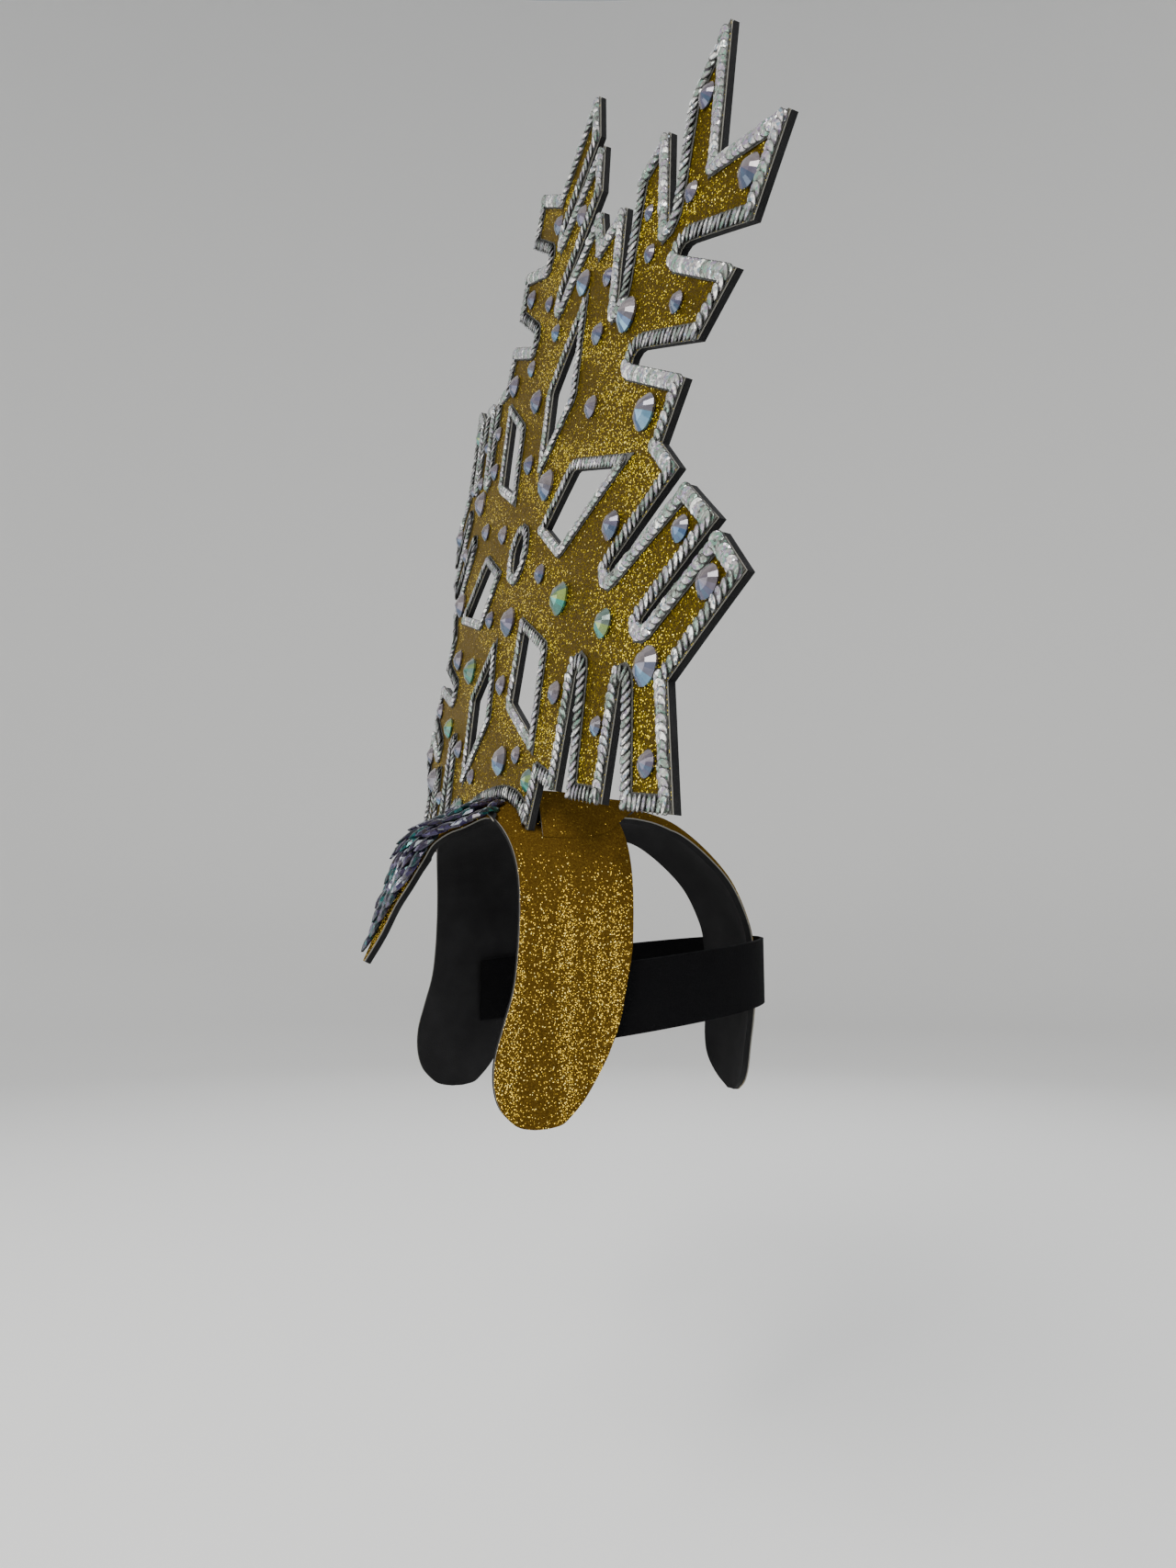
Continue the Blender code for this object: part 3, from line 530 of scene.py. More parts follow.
def sequin_tree():
    """Cup sequins strung along lines, each tipped over the next, with a tint of its own."""
    tree = bpy.data.node_groups.new("strung_sequins", "GeometryNodeTree")
    for label, kind in (
            ("Geometry", "Geometry"), ("Pitch", "Float"), ("Width", "Float"),
            ("Tilt", "Float"), ("Looseness", "Float"), ("Seed", "Int"), ("Rim", "Material"),
            ("Film", "Material"), ("Thread", "Material")):
        tree.interface.new_socket(label, in_out="INPUT", socket_type=f"NodeSocket{kind}")
    tree.interface.new_socket("Geometry", in_out="OUTPUT", socket_type="NodeSocketGeometry")
    given = add_node(tree, "NodeGroupInput").outputs
    parts = []
    for low, high, depth in ((1.0, SEQUIN_RIM, RIM_DEPTH),
                             (SEQUIN_RIM, SEQUIN_MIDDLE, CUP_DEPTH)):
        wide, narrow = [reckoned(tree, "MULTIPLY", given["Width"], share / 2)
                        for share in (low, high)]
        parts.append(add_node(tree, "GeometryNodeMeshCone", {
            "Vertices": SEQUIN_SIDES, "Radius Bottom": wide, "Radius Top": narrow,
            "Depth": depth}, fill_type="NGON"))
    parts.append(add_node(tree, "GeometryNodeMeshCube", {"Size": STITCH}))
    sequin = add_node(tree, "GeometryNodeJoinGeometry")
    for part, rise, finish in zip(parts, (0.0, RIM_DEPTH - SPECK, RIM_DEPTH + CUP_DEPTH),
                                  ("Rim", "Film", "Thread")):
        raised = add_node(tree, "GeometryNodeTransform", {
            "Geometry": part, "Translation": (0.0, 0.0, rise)})
        coated = add_node(tree, "GeometryNodeSetMaterial", {
            "Geometry": raised, "Material": given[finish]})
        fill(sequin, {"Geometry": coated})
    line = add_node(tree, "GeometryNodeMeshToCurve", {"Mesh": given["Geometry"]})
    even = add_node(tree, "GeometryNodeResampleCurve", {
        "Curve": line, "Length": given["Pitch"]}, mode="LENGTH")
    seats = add_node(tree, "GeometryNodeCurveToPoints", {"Curve": even}, mode="EVALUATED")
    facing = add_node(tree, "GeometryNodeInputNamedAttribute", {"Name": "face_out"},
                      data_type="FLOAT_VECTOR")
    upright = add_node(tree, "FunctionNodeAlignRotationToVector", {"Vector": facing},
                       axis="Z")
    along = add_node(tree, "FunctionNodeAlignRotationToVector", {
        "Rotation": upright, "Vector": seats.outputs["Tangent"]}, axis="X", pivot_axis="Z")
    spread = reckoned(tree, "MULTIPLY", given["Looseness"], -1.0)
    loose = [add_node(tree, "FunctionNodeRandomValue", {
        "Min": spread, "Max": given["Looseness"], "Seed": seed},
        data_type="FLOAT").outputs[1] for seed in (3, 5, 7)]
    lean = reckoned(tree, "ADD", given["Tilt"], loose[1])
    tip = add_node(tree, "ShaderNodeCombineXYZ", {"X": loose[0], "Y": lean, "Z": loose[2]})
    tipped = add_node(tree, "FunctionNodeEulerToRotation", {"Euler": tip})
    turned = add_node(tree, "FunctionNodeRotateRotation", {
        "Rotation": along, "Rotate By": tipped}, rotation_space="LOCAL")
    strung = add_node(tree, "GeometryNodeInstanceOnPoints", {
        "Points": seats, "Instance": sequin, "Rotation": turned})
    chance = add_node(tree, "FunctionNodeRandomValue", {"Seed": given["Seed"]},
                      data_type="FLOAT")
    tinted = add_node(tree, "GeometryNodeStoreNamedAttribute", {
        "Geometry": strung, "Name": "tint", "Value": chance.outputs[1]},
        data_type="FLOAT", domain="INSTANCE")
    real = add_node(tree, "GeometryNodeRealizeInstances", {"Geometry": tinted})
    add_node(tree, "NodeGroupOutput", {"Geometry": real})
    return tree


def film_finish():
    """Holographic film: silver broken into small cells of mint, lilac, blue and rose; its
    near-white cells are painted highlights and its near-black ones painted shade.
    """
    material, shader = plain_finish("sequin_film", (0.2, 0.2, 0.2), 0.20, 0.4)
    tree = material.node_tree
    cells = object_grain(tree, "ShaderNodeTexVoronoi", FILM_CELLS).outputs["Color"]
    chance = add_node(tree, "ShaderNodeSeparateColor", {"Color": cells})
    each = add_node(tree, "ShaderNodeAttribute", attribute_name="tint")
    fleck = reckoned(tree, "MULTIPLY", chance.outputs["Red"], 0.35)
    shift = reckoned(tree, "MULTIPLY_ADD", each.outputs["Fac"], 0.65, fleck)
    # The near-black step at the foot of this scale is painted shade, and the near-white one at its
    # top a painted highlight.
    tones = color_steps(tree, shift, (
        (0.08, (0.07, 0.075, 0.07)), (0.20, (0.28, 0.285, 0.255)), (0.31, (0.17, 0.32, 0.25)),
        (0.42, (0.41, 0.41, 0.37)), (0.52, (0.28, 0.22, 0.33)), (0.62, (0.55, 0.55, 0.51)),
        (0.71, (0.19, 0.27, 0.34)), (0.77, (0.58, 0.49, 0.49)), (0.83, (0.98, 0.99, 0.93))))
    fill(shader, {"Base Color": tones, "Normal": tilted_normal(tree, cells, 0.55)})
    return material


def woven_finish(name, low, high):
    """Matt weave: fine raised threads, darker between them."""
    material, shader = plain_finish(name, low, 0.95)
    tree = material.node_tree
    threads = object_grain(tree, "ShaderNodeTexVoronoi", NET_THREADS)
    tones = color_steps(tree, threads, ((0.0, low), (0.8, high)))
    fill(shader, {"Specular IOR Level": 0.08, "Base Color": tones,
                  "Normal": pitted(tree, threads, 0.5)})
    return material


def sequin_line(name, runs, width, tilt, seed, *nodes):
    """One piece of sequins strung along lines on the crest's face."""
    lines = bpy.data.meshes.new(name)
    points, edges, outs = [], [], []
    for run in runs:
        start = len(points)
        for spot in run:
            points.append(on_crest(spot.x, spot.y, 0.5 * TRIM_RISE + GAP))
            outs.append(crest_frame(spot.x, spot.y)[2])
        edges += [(index, index + 1) for index in range(start, len(points) - 1)]
    lines.from_pydata(points, edges, [])
    facing = lines.attributes.new("face_out", "FLOAT_VECTOR", "POINT")
    facing.data.foreach_set("vector", [part for out in outs for part in out])
    band = grown(put_in_scene(name, lines), sequins, {
        "Pitch": SEQUIN_PITCH, "Width": width, "Tilt": math.radians(tilt),
        "Looseness": SEQUIN_LOOSENESS, "Seed": seed, "Rim": SEQUIN_SHADOW_RIM, "Film": SEQUIN_FILM,
        "Thread": SILVER_THREAD})
    worn(band, "sequin_trim", *nodes)


SEQUIN_FILM = film_finish()
# Near-black sequin rims: painted shadow in the gap between each sequin and the next.
SEQUIN_SHADOW_RIM, _ = plain_finish("sequin_painted_shadow_rim", (0.022, 0.023, 0.022), 0.45)
SILVER_THREAD, _ = plain_finish("silver_thread", (0.16, 0.16, 0.155), 0.5, 0.3)
sequins = sequin_tree()
window_nodes = [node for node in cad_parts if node.startswith("window_trim")]
edge_width, edge_tape, edge_tilt = EDGE_SEQUINS
edge_line = inset(crest_loops[0], edge_tape / 2 - OVERHANG)
edge_runs = [run[::-1] for run in runs_of(edge_line)]
sequin_line("outline_sequins", edge_runs, edge_width, edge_tilt, 11, "outline_trim")
hole_width, hole_tape, hole_tilt = WINDOW_SEQUINS
hole_runs = [run for hole in crest_loops[1:]
             for run in runs_of(inset(hole, OVERHANG - hole_tape / 2))]
sequin_line("window_sequins", hole_runs, hole_width, hole_tilt, 23, "eye_trim", *window_nodes)

tape_loops = [crest_loops[0], inset(crest_loops[0], edge_tape)]
for hole in crest_loops[1:]:
    tape_loops += [inset(hole, -hole_tape), hole]
tape = bent_sheet("sequin_tape", tape_loops, GAP, GAP + TAPE_NET, [
    woven_finish("net_tape", (0.040, 0.040, 0.038), (0.105, 0.105, 0.098))])
worn(tape, "sequin_trim", "outline_trim", "eye_trim", *window_nodes)

# Crest stones: round acrylic stones with an iridescent coat, glued flat side down on the
# cloth. Each is cut in wedges that meet near its middle; the coat's reflection is painted into
# the wedges, lilac on one side and blue on the other.
STONE_SIDES = 16
STONE_LEVELS = ((0.00, 0.94), (0.22, 1.00), (0.74, 0.58), (1.00, 0.05))     # height, radius
COOL_SIDE = math.radians(-80)   # the facets on this side of a stone carry a painted blue reflection
STONE_ASPECT = 0.34
STONE_CLOUD = 260               # clouds to a metre
COOL_POWER = 2.3                # the greater, the narrower the cool side
WEDGE_CHANCE, FACET_CHANCE = 0.2, 0.08  # how far their tints may stray
COATS = {"lilac": 0.0, "blue": 0.34, "green": 0.68}     # where each starts on the tint scale
COAT_SPAN = 0.30
BLUE_STONES = (7, 11, 13, 17, 18, 25, 31, 36)           # numbers of the crest stones
GREEN_STONES = (20, 33, 34)
SMALL_STONES = (
    # sideways and up, as shares of ARM, width and coat; the far side mirrors them
    (0.618, 0.438, 0.0090, "lilac"), (0.754, 0.256, 0.0100, "lilac"),
    (0.594, -0.330, 0.0138, "green"), (0.201, -0.112, 0.0108, "lilac"),
    (0.610, -0.533, 0.0092, "blue"), (0.392, 0.380, 0.0113, "lilac"),
    (0.094, 0.543, 0.0100, "blue"), (0.188, -0.529, 0.0095, "lilac"),
    (0.284, -0.598, 0.0117, "green"), (0.192, 0.800, 0.0115, "lilac"),
    (0.594, 0.545, 0.0078, "lilac"),
)
LONE_SMALL_STONE = (0.076, -0.527, 0.0160, "blue")


def cut_stone(shape, layer, seat, axes, width, coat, chance):
    """Adds a stone cut in wedges; a wedge's tint runs from the warm side to the cool side."""
    radius, height, first = width / 2, width * STONE_ASPECT, COATS[coat]
    side, up, out = axes
    rings = []
    for rise, reach in STONE_LEVELS:
        ring = []
        for index in range(STONE_SIDES):
            angle = 2 * math.pi * index / STONE_SIDES
            ring.append(shape.verts.new(
                seat + out * (height * rise) + side * (radius * reach * math.cos(angle))
                + up * (radius * reach * math.sin(angle))))
        rings.append(ring)
    swing = COOL_SIDE + chance.uniform(-0.5, 0.5)
    for face in (shape.faces.new(rings[0][::-1]), shape.faces.new(rings[-1])):
        face[layer] = first
    for index in range(STONE_SIDES):
        after = (index + 1) % STONE_SIDES
        angle = 2 * math.pi * (index + 0.5) / STONE_SIDES
        cool = (0.5 + 0.5 * math.cos(angle - swing)) ** COOL_POWER
        cool += chance.uniform(-WEDGE_CHANCE, WEDGE_CHANCE)
        for low, high in zip(rings, rings[1:]):
            facet = shape.faces.new((low[index], low[after], high[after], high[index]))
            tint = cool + chance.uniform(-FACET_CHANCE, FACET_CHANCE)
            facet[layer] = first + COAT_SPAN * min(max(tint, 0.0), 1.0)


def stone_finish(name, steps, metallic, coat):
    """Coated acrylic: each facet keeps its own tint under a clear gloss."""
    material, shader = plain_finish(name, (0.4, 0.4, 0.6), 0.12, metallic)
    tree = material.node_tree
    facet = add_node(tree, "ShaderNodeAttribute", attribute_name="facet")
    cloud = object_grain(tree, "ShaderNodeTexNoise", STONE_CLOUD)
    shades = add_node(tree, "ShaderNodeMapRange", {
        "Value": cloud, "To Min": 0.55, "To Max": 1.25})
    deep = add_node(tree, "ShaderNodeVectorMath", {
        0: color_steps(tree, facet.outputs["Fac"], steps), "Scale": shades},
        operation="SCALE")
    fill(shader, {"Base Color": deep, "Coat Weight": coat, "Coat Roughness": 0.03})
    return material


CREST_STONE = stone_finish("crest_stone", (
    (0.00, (0.21, 0.18, 0.19)), (0.08, (0.125, 0.11, 0.13)), (0.16, (0.16, 0.14, 0.19)),
    (0.23, (0.09, 0.09, 0.16)), (0.30, (0.06, 0.10, 0.17)),
    (0.34, (0.23, 0.20, 0.21)), (0.42, (0.13, 0.12, 0.14)), (0.50, (0.15, 0.15, 0.20)),
    (0.56, (0.06, 0.11, 0.22)), (0.60, (0.07, 0.16, 0.30)), (0.64, (0.15, 0.32, 0.46)),
    (0.68, (0.16, 0.19, 0.17)), (0.76, (0.08, 0.17, 0.14)), (0.84, (0.28, 0.38, 0.09)),
    (0.90, (0.03, 0.10, 0.075)), (0.98, (0.06, 0.33, 0.27))), 0.35, 0.5)


def stone_piece(name, seats, seed, *nodes):
    """One piece of stones from their places on the crest, widths and coats."""
    shape = bmesh.new()
    layer = shape.faces.layers.float.new("facet")
    chance = random.Random(seed)
    for x, y, width, coat in seats:
        cut_stone(shape, layer, on_crest(x, y, GAP), crest_frame(x, y), width, coat, chance)
    worn(add_piece(name, shape, [CREST_STONE], smooth_under=2), "crest_stones", *nodes)


stone_nodes = sorted(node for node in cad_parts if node.startswith("crest_stone_"))
stone_seats = []
for number, node in enumerate(stone_nodes, 1):
    places = [crest_place(vert.co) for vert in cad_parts[node].data.vertices]
    middle = sum(places, Vector()) / len(places)
    reach = max((place - middle).to_2d().length for place in places)
    coat = "blue" if number in BLUE_STONES else "green" if number in GREEN_STONES else "lilac"
    stone_seats.append((middle.x, middle.y, 2 * reach, coat))
stone_piece("crest_stones", stone_seats, 5, *stone_nodes)
small_seats = [(way * x * ARM, y * ARM, width, coat)
               for x, y, width, coat in SMALL_STONES for way in (1, -1)]
x, y, width, coat = LONE_SMALL_STONE
small_seats.append((x * ARM, y * ARM, width, coat))
stone_piece("small_crest_stones", small_seats, 8)

# Saddle and lappets: one arched strip of black foam that ends in a rounded lappet on each
# side. Gold glitter cloth is glued over it and both are cut together, so the edge shows a
# thin pale line of backing on black foam.
CAP_FOAM = 0.0030
CAP_HALF_WIDTH = 0.0820
SHOULDER_RISE = 0.0600
SHOULDER_POWER = 2.6
LAPPET_DROP = 0.0990
LAPPET_TUCK = 0.0040
LAPPET_WIDTH = 0.0620
SADDLE_MIDDLE = -0.0010
SADDLE_FRONT = -0.53
SADDLE_BACK = 0.50
FRONT_DIP = 0.0060
CAP_CLOTH = 0.0007
FOAM_ROUND = 0.0006
ARCH_STEPS = 20                 # from the middle of the saddle to a shoulder
LAPPET_STEPS = 54
SADDLE_COLUMNS = 16
LAPPET_EDGES = (
    # down  front   back, edges as shares of LAPPET_WIDTH
    (0.00, -0.42, 0.50), (0.18, -0.43, 0.49), (0.36, -0.46, 0.44), (0.52, -0.53, 0.39),
    (0.66, -0.59, 0.31), (0.78, -0.595, 0.21), (0.88, -0.55, 0.11), (0.95, -0.46, 0.01),
    (0.985, -0.38, -0.06), (1.00, -0.27, -0.17),
)


def eased(stations, count):
    """Rows of numbers read along a smooth curve through a short table's rows."""
    rows = []
    last = len(stations) - 1
    for step in range(count + 1):
        place = step / count * last
        index = min(int(place), last - 1)
        share = place - index
        before, start = stations[max(index - 1, 0)], stations[index]
        end, after = stations[index + 1], stations[min(index + 2, last)]
        row = []
        for p, a, b, q in zip(before, start, end, after):
            rise, fall = (b - p) / 2, (q - a) / 2
            row.append(a + share * (rise + share * (
                3 * (b - a) - 2 * rise - fall + share * (2 * (a - b) + rise + fall))))
        rows.append(row)
    return rows


def shoulder_drop(x):
    """How far the saddle's outer surface lies below its crown at x from the middle."""
    share = min(abs(x) / CAP_HALF_WIDTH, 1.0)
    return SHOULDER_RISE * (1.0 - (1.0 - share ** SHOULDER_POWER) ** (1.0 / SHOULDER_POWER))


def saddle_height(x, y=SADDLE_MIDDLE):
    """Height of the saddle's outer surface, which dips towards its front."""
    forward = max(SADDLE_MIDDLE - y, 0.0) / (-SADDLE_FRONT * LAPPET_WIDTH)
    flat = 1.0 - min(abs(x) / CAP_HALF_WIDTH, 1.0) ** 4
    return CAP_FOAM - shoulder_drop(x) - FRONT_DIP * forward ** 3 * flat


def grid_normals(grid):
    """Outward directions of a grid of points whose rows and columns turn right-handed."""
    rows, columns = len(grid), len(grid[0])
    return [[(grid[min(i + 1, rows - 1)][j] - grid[max(i - 1, 0)][j]).cross(
        grid[i][min(j + 1, columns - 1)] - grid[i][max(j - 1, 0)]).normalized()
        for j in range(columns)] for i in range(rows)]


def shell_piece(name, grid, depth, wall, finishes, rim_finish=0, side_wall=None):
    """A sheet of one thickness at a depth under a grid; its cut edge can differ in finish.

    A side wall is the thickness of the first and last columns, where it differs.
    """
    normals = grid_normals(grid)
    rows, columns = len(grid), len(grid[0])
    walls = [wall] * columns
    walls[0] = walls[-1] = side_wall or wall
    shape = bmesh.new()
    outer, inner = [[[shape.verts.new(point - normal * (depth + share * below))
                      for point, normal, below in zip(row, line, walls)]
                     for row, line in zip(grid, normals)] for share in (0, 1)]
    for i in range(rows - 1):
        for j in range(columns - 1):
            a, b, c, d = (i, j), (i + 1, j), (i + 1, j + 1), (i, j + 1)
            shape.faces.new([outer[p][q] for p, q in (a, b, c, d)])
            shape.faces.new([inner[p][q] for p, q in (d, c, b, a)])
    rim = [(i, 0) for i in range(rows)] + [(rows - 1, j) for j in range(1, columns)]
    rim += [(i, columns - 1) for i in range(rows - 2, -1, -1)]
    rim += [(0, j) for j in range(columns - 2, 0, -1)]
    for (p, q), (r, s) in sides_of(rim):
        edge = shape.faces.new((outer[r][s], outer[p][q], inner[p][q], inner[r][s]))
        edge.material_index = rim_finish
    return add_piece(name, shape, finishes)


def faced_piece(name, grid, foam, node):
    """Foam with glitter cloth glued over its outer side; the pair stands for one node."""
    core = rounded(shell_piece(f"{name}_foam", grid, CAP_CLOTH + SPECK, foam - CAP_CLOTH - SPECK,
                               [BLACK_FOAM]), FOAM_ROUND)
    cloth = shell_piece(f"{name}_cloth", grid, 0.0, CAP_CLOTH, [CAP_GLITTER, CLOTH_BACKING],
                        rim_finish=1)
    worn(core, "black_foam", node)
    worn(cloth, "gold_cap_cloth", node)


# Cap cloth: painted glints in upright painted sheen streaks, thinned almost away towards the top
# as painted light.
CAP_GLITTER = glitter_finish("cap_glitter", (
    (0.072, 0.039, 0.0060), (0.094, 0.054, 0.0080), (0.16, 0.10, 0.014), (1.0, 0.66, 0.07),
    (1.0, 0.86, 0.30)), 0.0, 0.00068, (0.0, (0.300, 0.0075, 0.400), 0.0), (0.30, 0.90),
    ("Z", -0.022, -0.072, 0.03))

half_saddle = []
for step in range(ARCH_STEPS + 1):
    share = math.sin(math.pi / 2 * step / ARCH_STEPS)
    x = CAP_HALF_WIDTH * share
    front = SADDLE_FRONT + (LAPPET_EDGES[0][1] - SADDLE_FRONT) * share ** 5
    half_saddle.append((x, saddle_height(x), front, SADDLE_BACK))
for down, front, back in eased(LAPPET_EDGES, LAPPET_STEPS)[1:]:
    half_saddle.append((CAP_HALF_WIDTH - LAPPET_TUCK * down ** 2,
                        CAP_FOAM - SHOULDER_RISE - LAPPET_DROP * down, front, back))
saddle_grid = []
for x, z, front, back in [(-x, *rest) for x, *rest in half_saddle[:0:-1]] + half_saddle:
    line = []
    for step in range(SADDLE_COLUMNS + 1):
        y = SADDLE_MIDDLE + (front + (back - front) * step / SADDLE_COLUMNS) * LAPPET_WIDTH
        line.append(Vector((x, y, z + saddle_height(x, y) - saddle_height(x))))
    saddle_grid.append(line)
faced_piece("saddle", saddle_grid, CAP_FOAM, "cap_saddle")

# Crown flap: the same cloth over thin foam behind the crest, raised over the saddle, to which
# the crest's foot is glued. Its cloth laps over the foam at the sides and the back.
FLAP_CLOTH = 0.0022
FLAP_LENGTH = 0.0660
FLAP_CREASE = 0.0660
FLAP_EDGE = 0.0735
FLAP_RISE = 0.0019
FLAP_FALL = 0.0120
FLAP_STATIONS = (
    # along crease edge, middle crease falls
    (0.00, 1.00, 1.00, 0.00, 0.47), (0.25, 1.00, 1.00, 0.00, 0.50),
    (0.50, 0.97, 0.97, 0.01, 0.78), (0.68, 0.91, 0.87, 0.01, 0.88),
    (0.84, 0.76, 0.73, 0.05, 0.80), (1.00, 0.52, 0.49, 0.08, 0.50),
)
FLAP_HEM = 0.0004
FLAP_FOLD = 0.004               # how far past the crease the cloth takes to straighten
FLAP_STEPS = 30
TOP_SHARES = (0.0, 0.15, 0.3, 0.45, 0.6, 0.75, 0.88, 0.96)
flap_crown = CAP_FOAM + FLAP_RISE + FLAP_CLOTH
flap_grid = []
for along, wide_crease, wide_edge, *falls in eased(FLAP_STATIONS, FLAP_STEPS):
    crease, edge = wide_crease * FLAP_CREASE, wide_edge * FLAP_EDGE
    middle, fold = [flap_crown - share * FLAP_FALL for share in falls]
    hem = min(saddle_height(edge) + 1.5 * FLAP_HEM, fold - 2 * FLAP_HEM)
    half = [(crease * share, middle + (fold - middle) * share ** 2) for share in TOP_SHARES]
    reach = math.hypot(edge - crease, fold - hem)
    half += [(crease + FLAP_FOLD * (edge - crease) / reach,
              fold - FLAP_FOLD * (fold - hem) / reach)]
    half += [(crease + (edge - crease) * share, fold + (hem - fold) * share)
             for share in (0.4, 0.7, 1.0)]
    line = []
    for x, z in half[::-1] + [(-x, z) for x, z in half[1:]]:
        front = CREST_SETBACK + (flap_crown - CREST_HEIGHT) * math.tan(CREST_LEAN)
        front += WING_SWEEP * (x / ARM) ** 2 - BOARD_BACK / math.cos(CREST_LEAN) + 2 * GAP
        line.append(Vector((x, front + along * FLAP_LENGTH, z)))
    flap_grid.append(line)
flap_core = shell_piece("flap_foam", [line[1:-1] for line in flap_grid], CAP_CLOTH + SPECK,
                        FLAP_CLOTH - CAP_CLOTH, [BLACK_FOAM])
worn(flap_core, "black_foam", "crown_flap")
flap = shell_piece("flap_cloth", flap_grid, 0.0, CAP_CLOTH, [CAP_GLITTER, CLOTH_BACKING],
                   rim_finish=1, side_wall=FLAP_HEM)
flap_front = max(point.y for point in flap_grid[0]) + SPECK
for face in flap.data.polygons:
    if face.center.y > flap_front:
        face.material_index = 0
worn(flap, "gold_cap_cloth", "crown_flap")

# Peak: a pointed tongue of thick foam that hangs down in front, faced with the same cloth.
# Its root is joined to the saddle's front edge.
PEAK_FOAM = 0.0036
PEAK_REACH = 0.0500
PEAK_DROP = 0.0780
PEAK_HALF_WIDTH = 0.0460
PEAK_ROUNDNESS = 0.1600
PEAK_STEPS = 45
PEAK_COLUMNS = 20
PEAK_STATIONS = (
    # forward down half width
    (0.000, 0.000, 1.32), (0.076, 0.032, 1.03), (0.225, 0.094, 0.90), (0.374, 0.141, 0.82),
    (0.513, 0.231, 0.72), (0.583, 0.346, 0.62), (0.672, 0.494, 0.48), (0.771, 0.641, 0.34),
    (0.871, 0.827, 0.18), (1.000, 1.000, 0.04),
)


def tongue_grid(spine, columns, heading, radius, rise=0.0, settle=3.0):
    """Grid over a tongue whose spine gives Y, height and half width, forward (-1) or back.

    Its section follows the saddle at the root and settles to a radius along its length.
    """
    root = spine[0][0]
    grid = []
    for index, (y, z, half_width) in enumerate(spine):
        before, after = spine[max(index - 1, 0)], spine[min(index + 1, len(spine) - 1)]
        run = Vector((0.0, after[0] - before[0], after[1] - before[1])).normalized()
        out = heading * Vector((0.0, -run.z, run.y))
        ease = min(1.0, settle * index / (len(spine) - 1))
        out = Vector((0.0, 0.0, 1.0)).lerp(out, min(1.0, 3.0 * ease)).normalized()
        line = []
        for step in range(columns + 1):
            x = heading * half_width * (1 - 2 * step / columns)
            roundness = radius - math.sqrt(max(radius ** 2 - x * x, 0.0))
            shoulder = saddle_height(0.0, root) - saddle_height(x, root)
            drop = (1 - ease) * shoulder + ease * roundness
            line.append(Vector((x, y, z)) + out * (rise - drop))
        grid.append(line)
    return grid


peak_root = SADDLE_MIDDLE + SADDLE_FRONT * LAPPET_WIDTH - GAP
peak_top = saddle_height(0.0, peak_root)
peak_spine = [(peak_root - forward * PEAK_REACH, peak_top - down * PEAK_DROP,
               wide * PEAK_HALF_WIDTH) for forward, down, wide in eased(PEAK_STATIONS, PEAK_STEPS)]
peak_grid = tongue_grid(peak_spine, PEAK_COLUMNS, -1, PEAK_ROUNDNESS)
faced_piece("peak", peak_grid, PEAK_FOAM, "peak")

# Leaf stones: long faceted acrylic leaves with an iridescent coat, glued by their upper ends
# in rows that overlap like feathers from the crest's foot down the peak.
LEAF_LAP = 0.01066
LEAF_LENGTH = 0.0155
LEAF_WIDTH = 0.0064
LEAF_HEIGHT = 0.0022
LEAF_SEAT = 0.0009
LEAF_SIDES = 12
LEAF_HUES = (0.1, 0.9)
FACET_HUE = 0.2                 # how far a facet's hue may differ from its leaf's
LEAF_SWING = 6                  # degrees a leaf may turn by chance
LEAF_LOOSE = (-3, 8)            # degrees it may lift by chance
LEAF_ROWS = (
    # along count spread fan lift
    (0.040, 7, 0.72, 50, 5), (0.100, 8, 0.86, 38, 6), (0.160, 8, 0.98, 28, 7),
    (0.225, 8, 1.00, 20, 9), (0.290, 8, 1.00, 16, 13), (0.355, 7, 1.00, 14, 18),
    (0.420, 7, 1.00, 12, 15), (0.485, 6, 0.98, 10, 9), (0.550, 6, 0.96, 8, 8),
    (0.615, 5, 0.90, 8, 7), (0.685, 4, 0.78, 8, 6), (0.755, 3, 0.66, 8, 6),
    (0.825, 2, 0.42, 6, 5), (0.900, 1, 0.00, 0, 5),
)
LEAF_LEVELS = (
    # height share, outline share, turn in facets
    (-0.20, 0.90, 0.0), (0.25, 1.00, 0.0), (0.78, 0.62, 0.5), (1.00, 0.30, 0.0),
)


def on_field(grid, along, across):
    """Point and its down, side and out directions at shares of a grid's length and width."""
    middle = [line[len(line) // 2] for line in grid]
    runs = [(after - spot).length for spot, after in zip(middle, middle[1:])]
    reach = along * sum(runs)
    row = 0
    while row < len(runs) - 1 and reach > runs[row]:
        reach -= runs[row]
        row += 1
    u = reach / runs[row]
    columns = len(grid[0]) - 1
    column = min(int((across + 1) / 2 * columns), columns - 1)
    v = (across + 1) / 2 * columns - column
    left = grid[row][column].lerp(grid[row + 1][column], u)
    right = grid[row][column + 1].lerp(grid[row + 1][column + 1], u)
    upper = grid[row][column].lerp(grid[row][column + 1], v)
    lower = grid[row + 1][column].lerp(grid[row + 1][column + 1], v)
    down = (lower - upper).normalized()
    out = down.cross(right - left).normalized()
    return left.lerp(right, v), down, out.cross(down), out


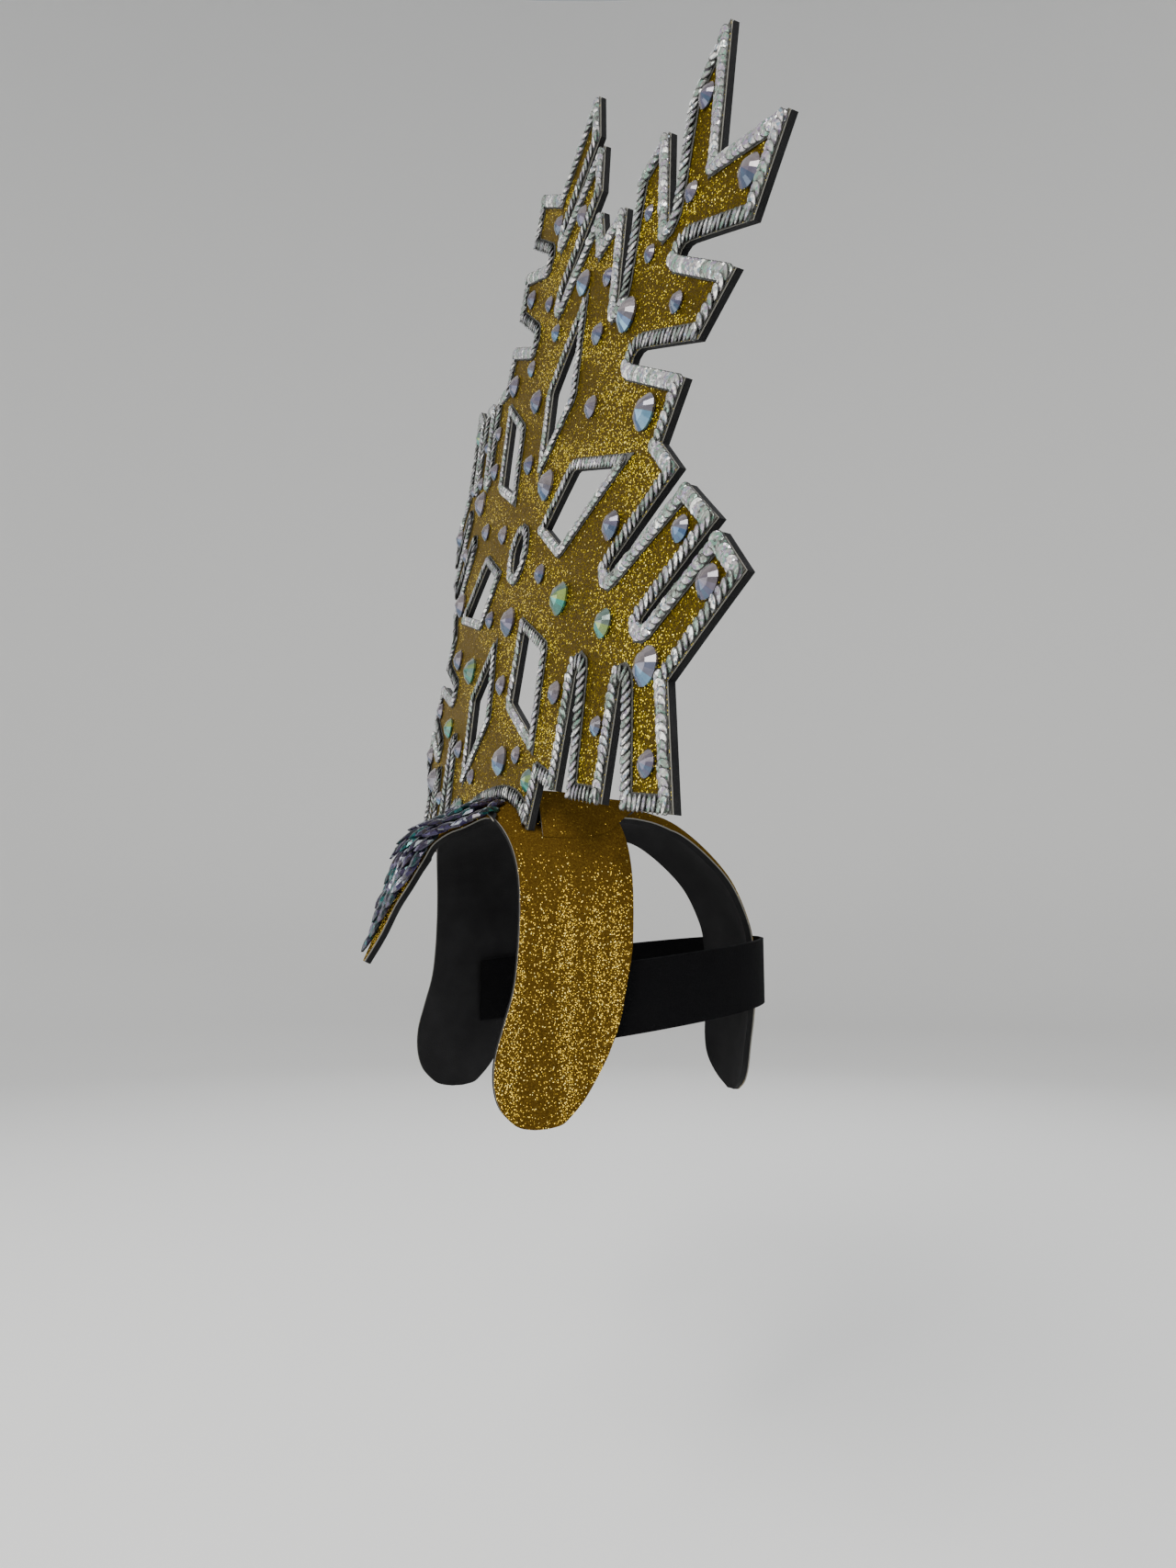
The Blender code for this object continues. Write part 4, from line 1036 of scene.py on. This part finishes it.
def leaf_stone(shape, layer, spot, run, side, out, hue, chance):
    """A faceted leaf with pointed ends."""
    rings = []
    for rise, share, half in LEAF_LEVELS:
        ring = []
        for index in range(LEAF_SIDES):
            angle = 2 * math.pi * (index + half) / LEAF_SIDES
            wide = math.sin(angle) * abs(math.sin(angle)) ** 0.25
            ring.append(shape.verts.new(
                spot + out * (LEAF_HEIGHT * rise)
                + run * (LEAF_LENGTH / 2 * share * math.cos(angle))
                + side * (LEAF_WIDTH / 2 * share * wide)))
        rings.append(ring)
    faces = [shape.faces.new(rings[0][::-1]), shape.faces.new(rings[-1])]
    for index in range(LEAF_SIDES):
        after = (index + 1) % LEAF_SIDES
        (a, b), (c, d), (e, f), (g, h) = [(ring[index], ring[after]) for ring in rings]
        for corners in ((a, b, d, c), (c, d, e), (d, f, e), (e, h, g), (e, f, h)):
            faces.append(shape.faces.new(corners))
    for face in faces:
        face[layer] = hue + chance.uniform(-FACET_HUE, FACET_HUE)


# The near-white step at the top of this scale is a painted highlight on a few facets of the dark
# leaves.
SMOKY_STONE = stone_finish("smoky_stone", (
    (0.00, (0.01, 0.12, 0.12)), (0.14, (0.010, 0.028, 0.035)), (0.30, (0.022, 0.024, 0.030)),
    (0.46, (0.05, 0.035, 0.09)), (0.60, (0.030, 0.024, 0.018)), (0.74, (0.05, 0.04, 0.11)),
    (0.88, (0.05, 0.052, 0.06)), (1.00, (0.75, 0.80, 0.90))), 0.45, 0.12)
leaf_field = tongue_grid(peak_spine, PEAK_COLUMNS, -1, PEAK_ROUNDNESS, LEAF_SEAT)
leaf_start = peak_root + LEAF_LAP
leaf_field.insert(0, [Vector((point.x, leaf_start,
                              saddle_height(point.x, leaf_start) + LEAF_SEAT))
                      for point in leaf_field[0]])
leaf_shape = bmesh.new()
leaf_layer = leaf_shape.faces.layers.float.new("facet")
leaf_chance = random.Random(14)
for along, count, spread, fan, rise in LEAF_ROWS:
    for index in range(count):
        across = spread * (2 * index / (count - 1) - 1) if count > 1 else 0.0
        spot, down, side, out = on_field(leaf_field, along, across)
        lift = math.radians(rise + leaf_chance.uniform(*LEAF_LOOSE))
        spot = spot + out * (0.4 * LEAF_LENGTH * math.sin(lift))
        swing = math.radians(fan * across + leaf_chance.uniform(-LEAF_SWING, LEAF_SWING))
        run = down * math.cos(swing) + side * math.sin(swing)
        lifted = run * math.cos(lift) + out * math.sin(lift)
        upright = out * math.cos(lift) - run * math.sin(lift)
        leaf_stone(leaf_shape, leaf_layer, spot, lifted, upright.cross(lifted), upright,
                   leaf_chance.uniform(*LEAF_HUES), leaf_chance)
leaves = add_piece("leaf_stones", leaf_shape, [SMOKY_STONE], smooth_under=2)
worn(leaves, "leaf_stones", "peak_stones")

# Rear band: the foam strip that arches back and down from the saddle's back edge and narrows
# into the rounded nape tab. It is faced with the same cloth.
BAND_FOAM = 0.0036
BAND_REACH = 0.1050
BAND_DROP = 0.1580
BAND_HALF_WIDTH = 0.0300
BAND_ROUNDNESS = 0.0500
BAND_SETTLE = 4.0
BAND_STEPS = 84
BAND_COLUMNS = 16
BAND_STATIONS = (
    # back down half width
    (0.000, 0.000, 1.75), (0.100, 0.001, 1.42), (0.226, 0.006, 1.15), (0.378, 0.018, 1.04),
    (0.530, 0.052, 1.00), (0.707, 0.137, 0.98), (0.859, 0.247, 0.96), (0.959, 0.386, 0.94),
    (0.992, 0.493, 0.94), (1.000, 0.620, 0.94), (0.988, 0.734, 0.92), (0.964, 0.838, 0.86),
    (0.950, 0.908, 0.74), (0.940, 0.962, 0.48), (0.935, 1.000, 0.12),
)
band_root = SADDLE_MIDDLE + SADDLE_BACK * LAPPET_WIDTH + GAP
band_spine = [(band_root + back * BAND_REACH, CAP_FOAM - down * BAND_DROP,
               wide * BAND_HALF_WIDTH) for back, down, wide in eased(BAND_STATIONS, BAND_STEPS)]
band_grid = tongue_grid(band_spine, BAND_COLUMNS, 1, BAND_ROUNDNESS, settle=BAND_SETTLE)
faced_piece("rear_band", band_grid, BAND_FOAM, "rear_band")

# Elastic: wide black woven elastic with fine ribs along it. Its ends are glued inside the
# lappets, and it runs round outside the band.
STRAP_WIDTH = 0.0345
STRAP_CLOTH = 0.0015
STRAP_FRONT_DROP = 0.1045
STRAP_BACK_DROP = 0.0895
STRAP_POWER = 2.4
STRAP_RIB = 0.00115
STRAP_RELIEF = 0.00016
STRAP_STEPS = 120
low_share = (STRAP_FRONT_DROP + STRAP_WIDTH / 2 - SHOULDER_RISE) / LAPPET_DROP
strap_side = CAP_HALF_WIDTH - LAPPET_TUCK * low_share ** 2 - CAP_FOAM - GAP
strap_back = max(y for y, _, _ in band_spine) + GAP + STRAP_CLOTH
strap_grid = []
strap_columns = 2 * round(STRAP_WIDTH / STRAP_RIB)
for step in range(STRAP_STEPS + 1):
    turn = math.pi * step / STRAP_STEPS
    reach_x = abs(math.cos(turn)) ** (2 / STRAP_POWER) * math.copysign(1, math.cos(turn))
    reach_y = abs(math.sin(turn)) ** (2 / STRAP_POWER)
    middle = CAP_FOAM - STRAP_FRONT_DROP + (STRAP_FRONT_DROP - STRAP_BACK_DROP) * reach_y
    x, y = strap_side * reach_x, SADDLE_MIDDLE + (strap_back - SADDLE_MIDDLE) * reach_y
    strap_grid.append([Vector((x, y, middle + STRAP_WIDTH * (column / strap_columns - 0.5)))
                       for column in range(strap_columns + 1)])
for row, line in zip(strap_grid, grid_normals(strap_grid)):
    for column in range(1, strap_columns, 2):
        row[column] -= line[column] * STRAP_RELIEF
strap = shell_piece("elastic", strap_grid, 0.0, STRAP_CLOTH, [
    woven_finish("black_elastic", (0.0012, 0.0012, 0.0016), (0.004, 0.004, 0.0045))])
worn(strap, "black_elastic", "elastic_strap")
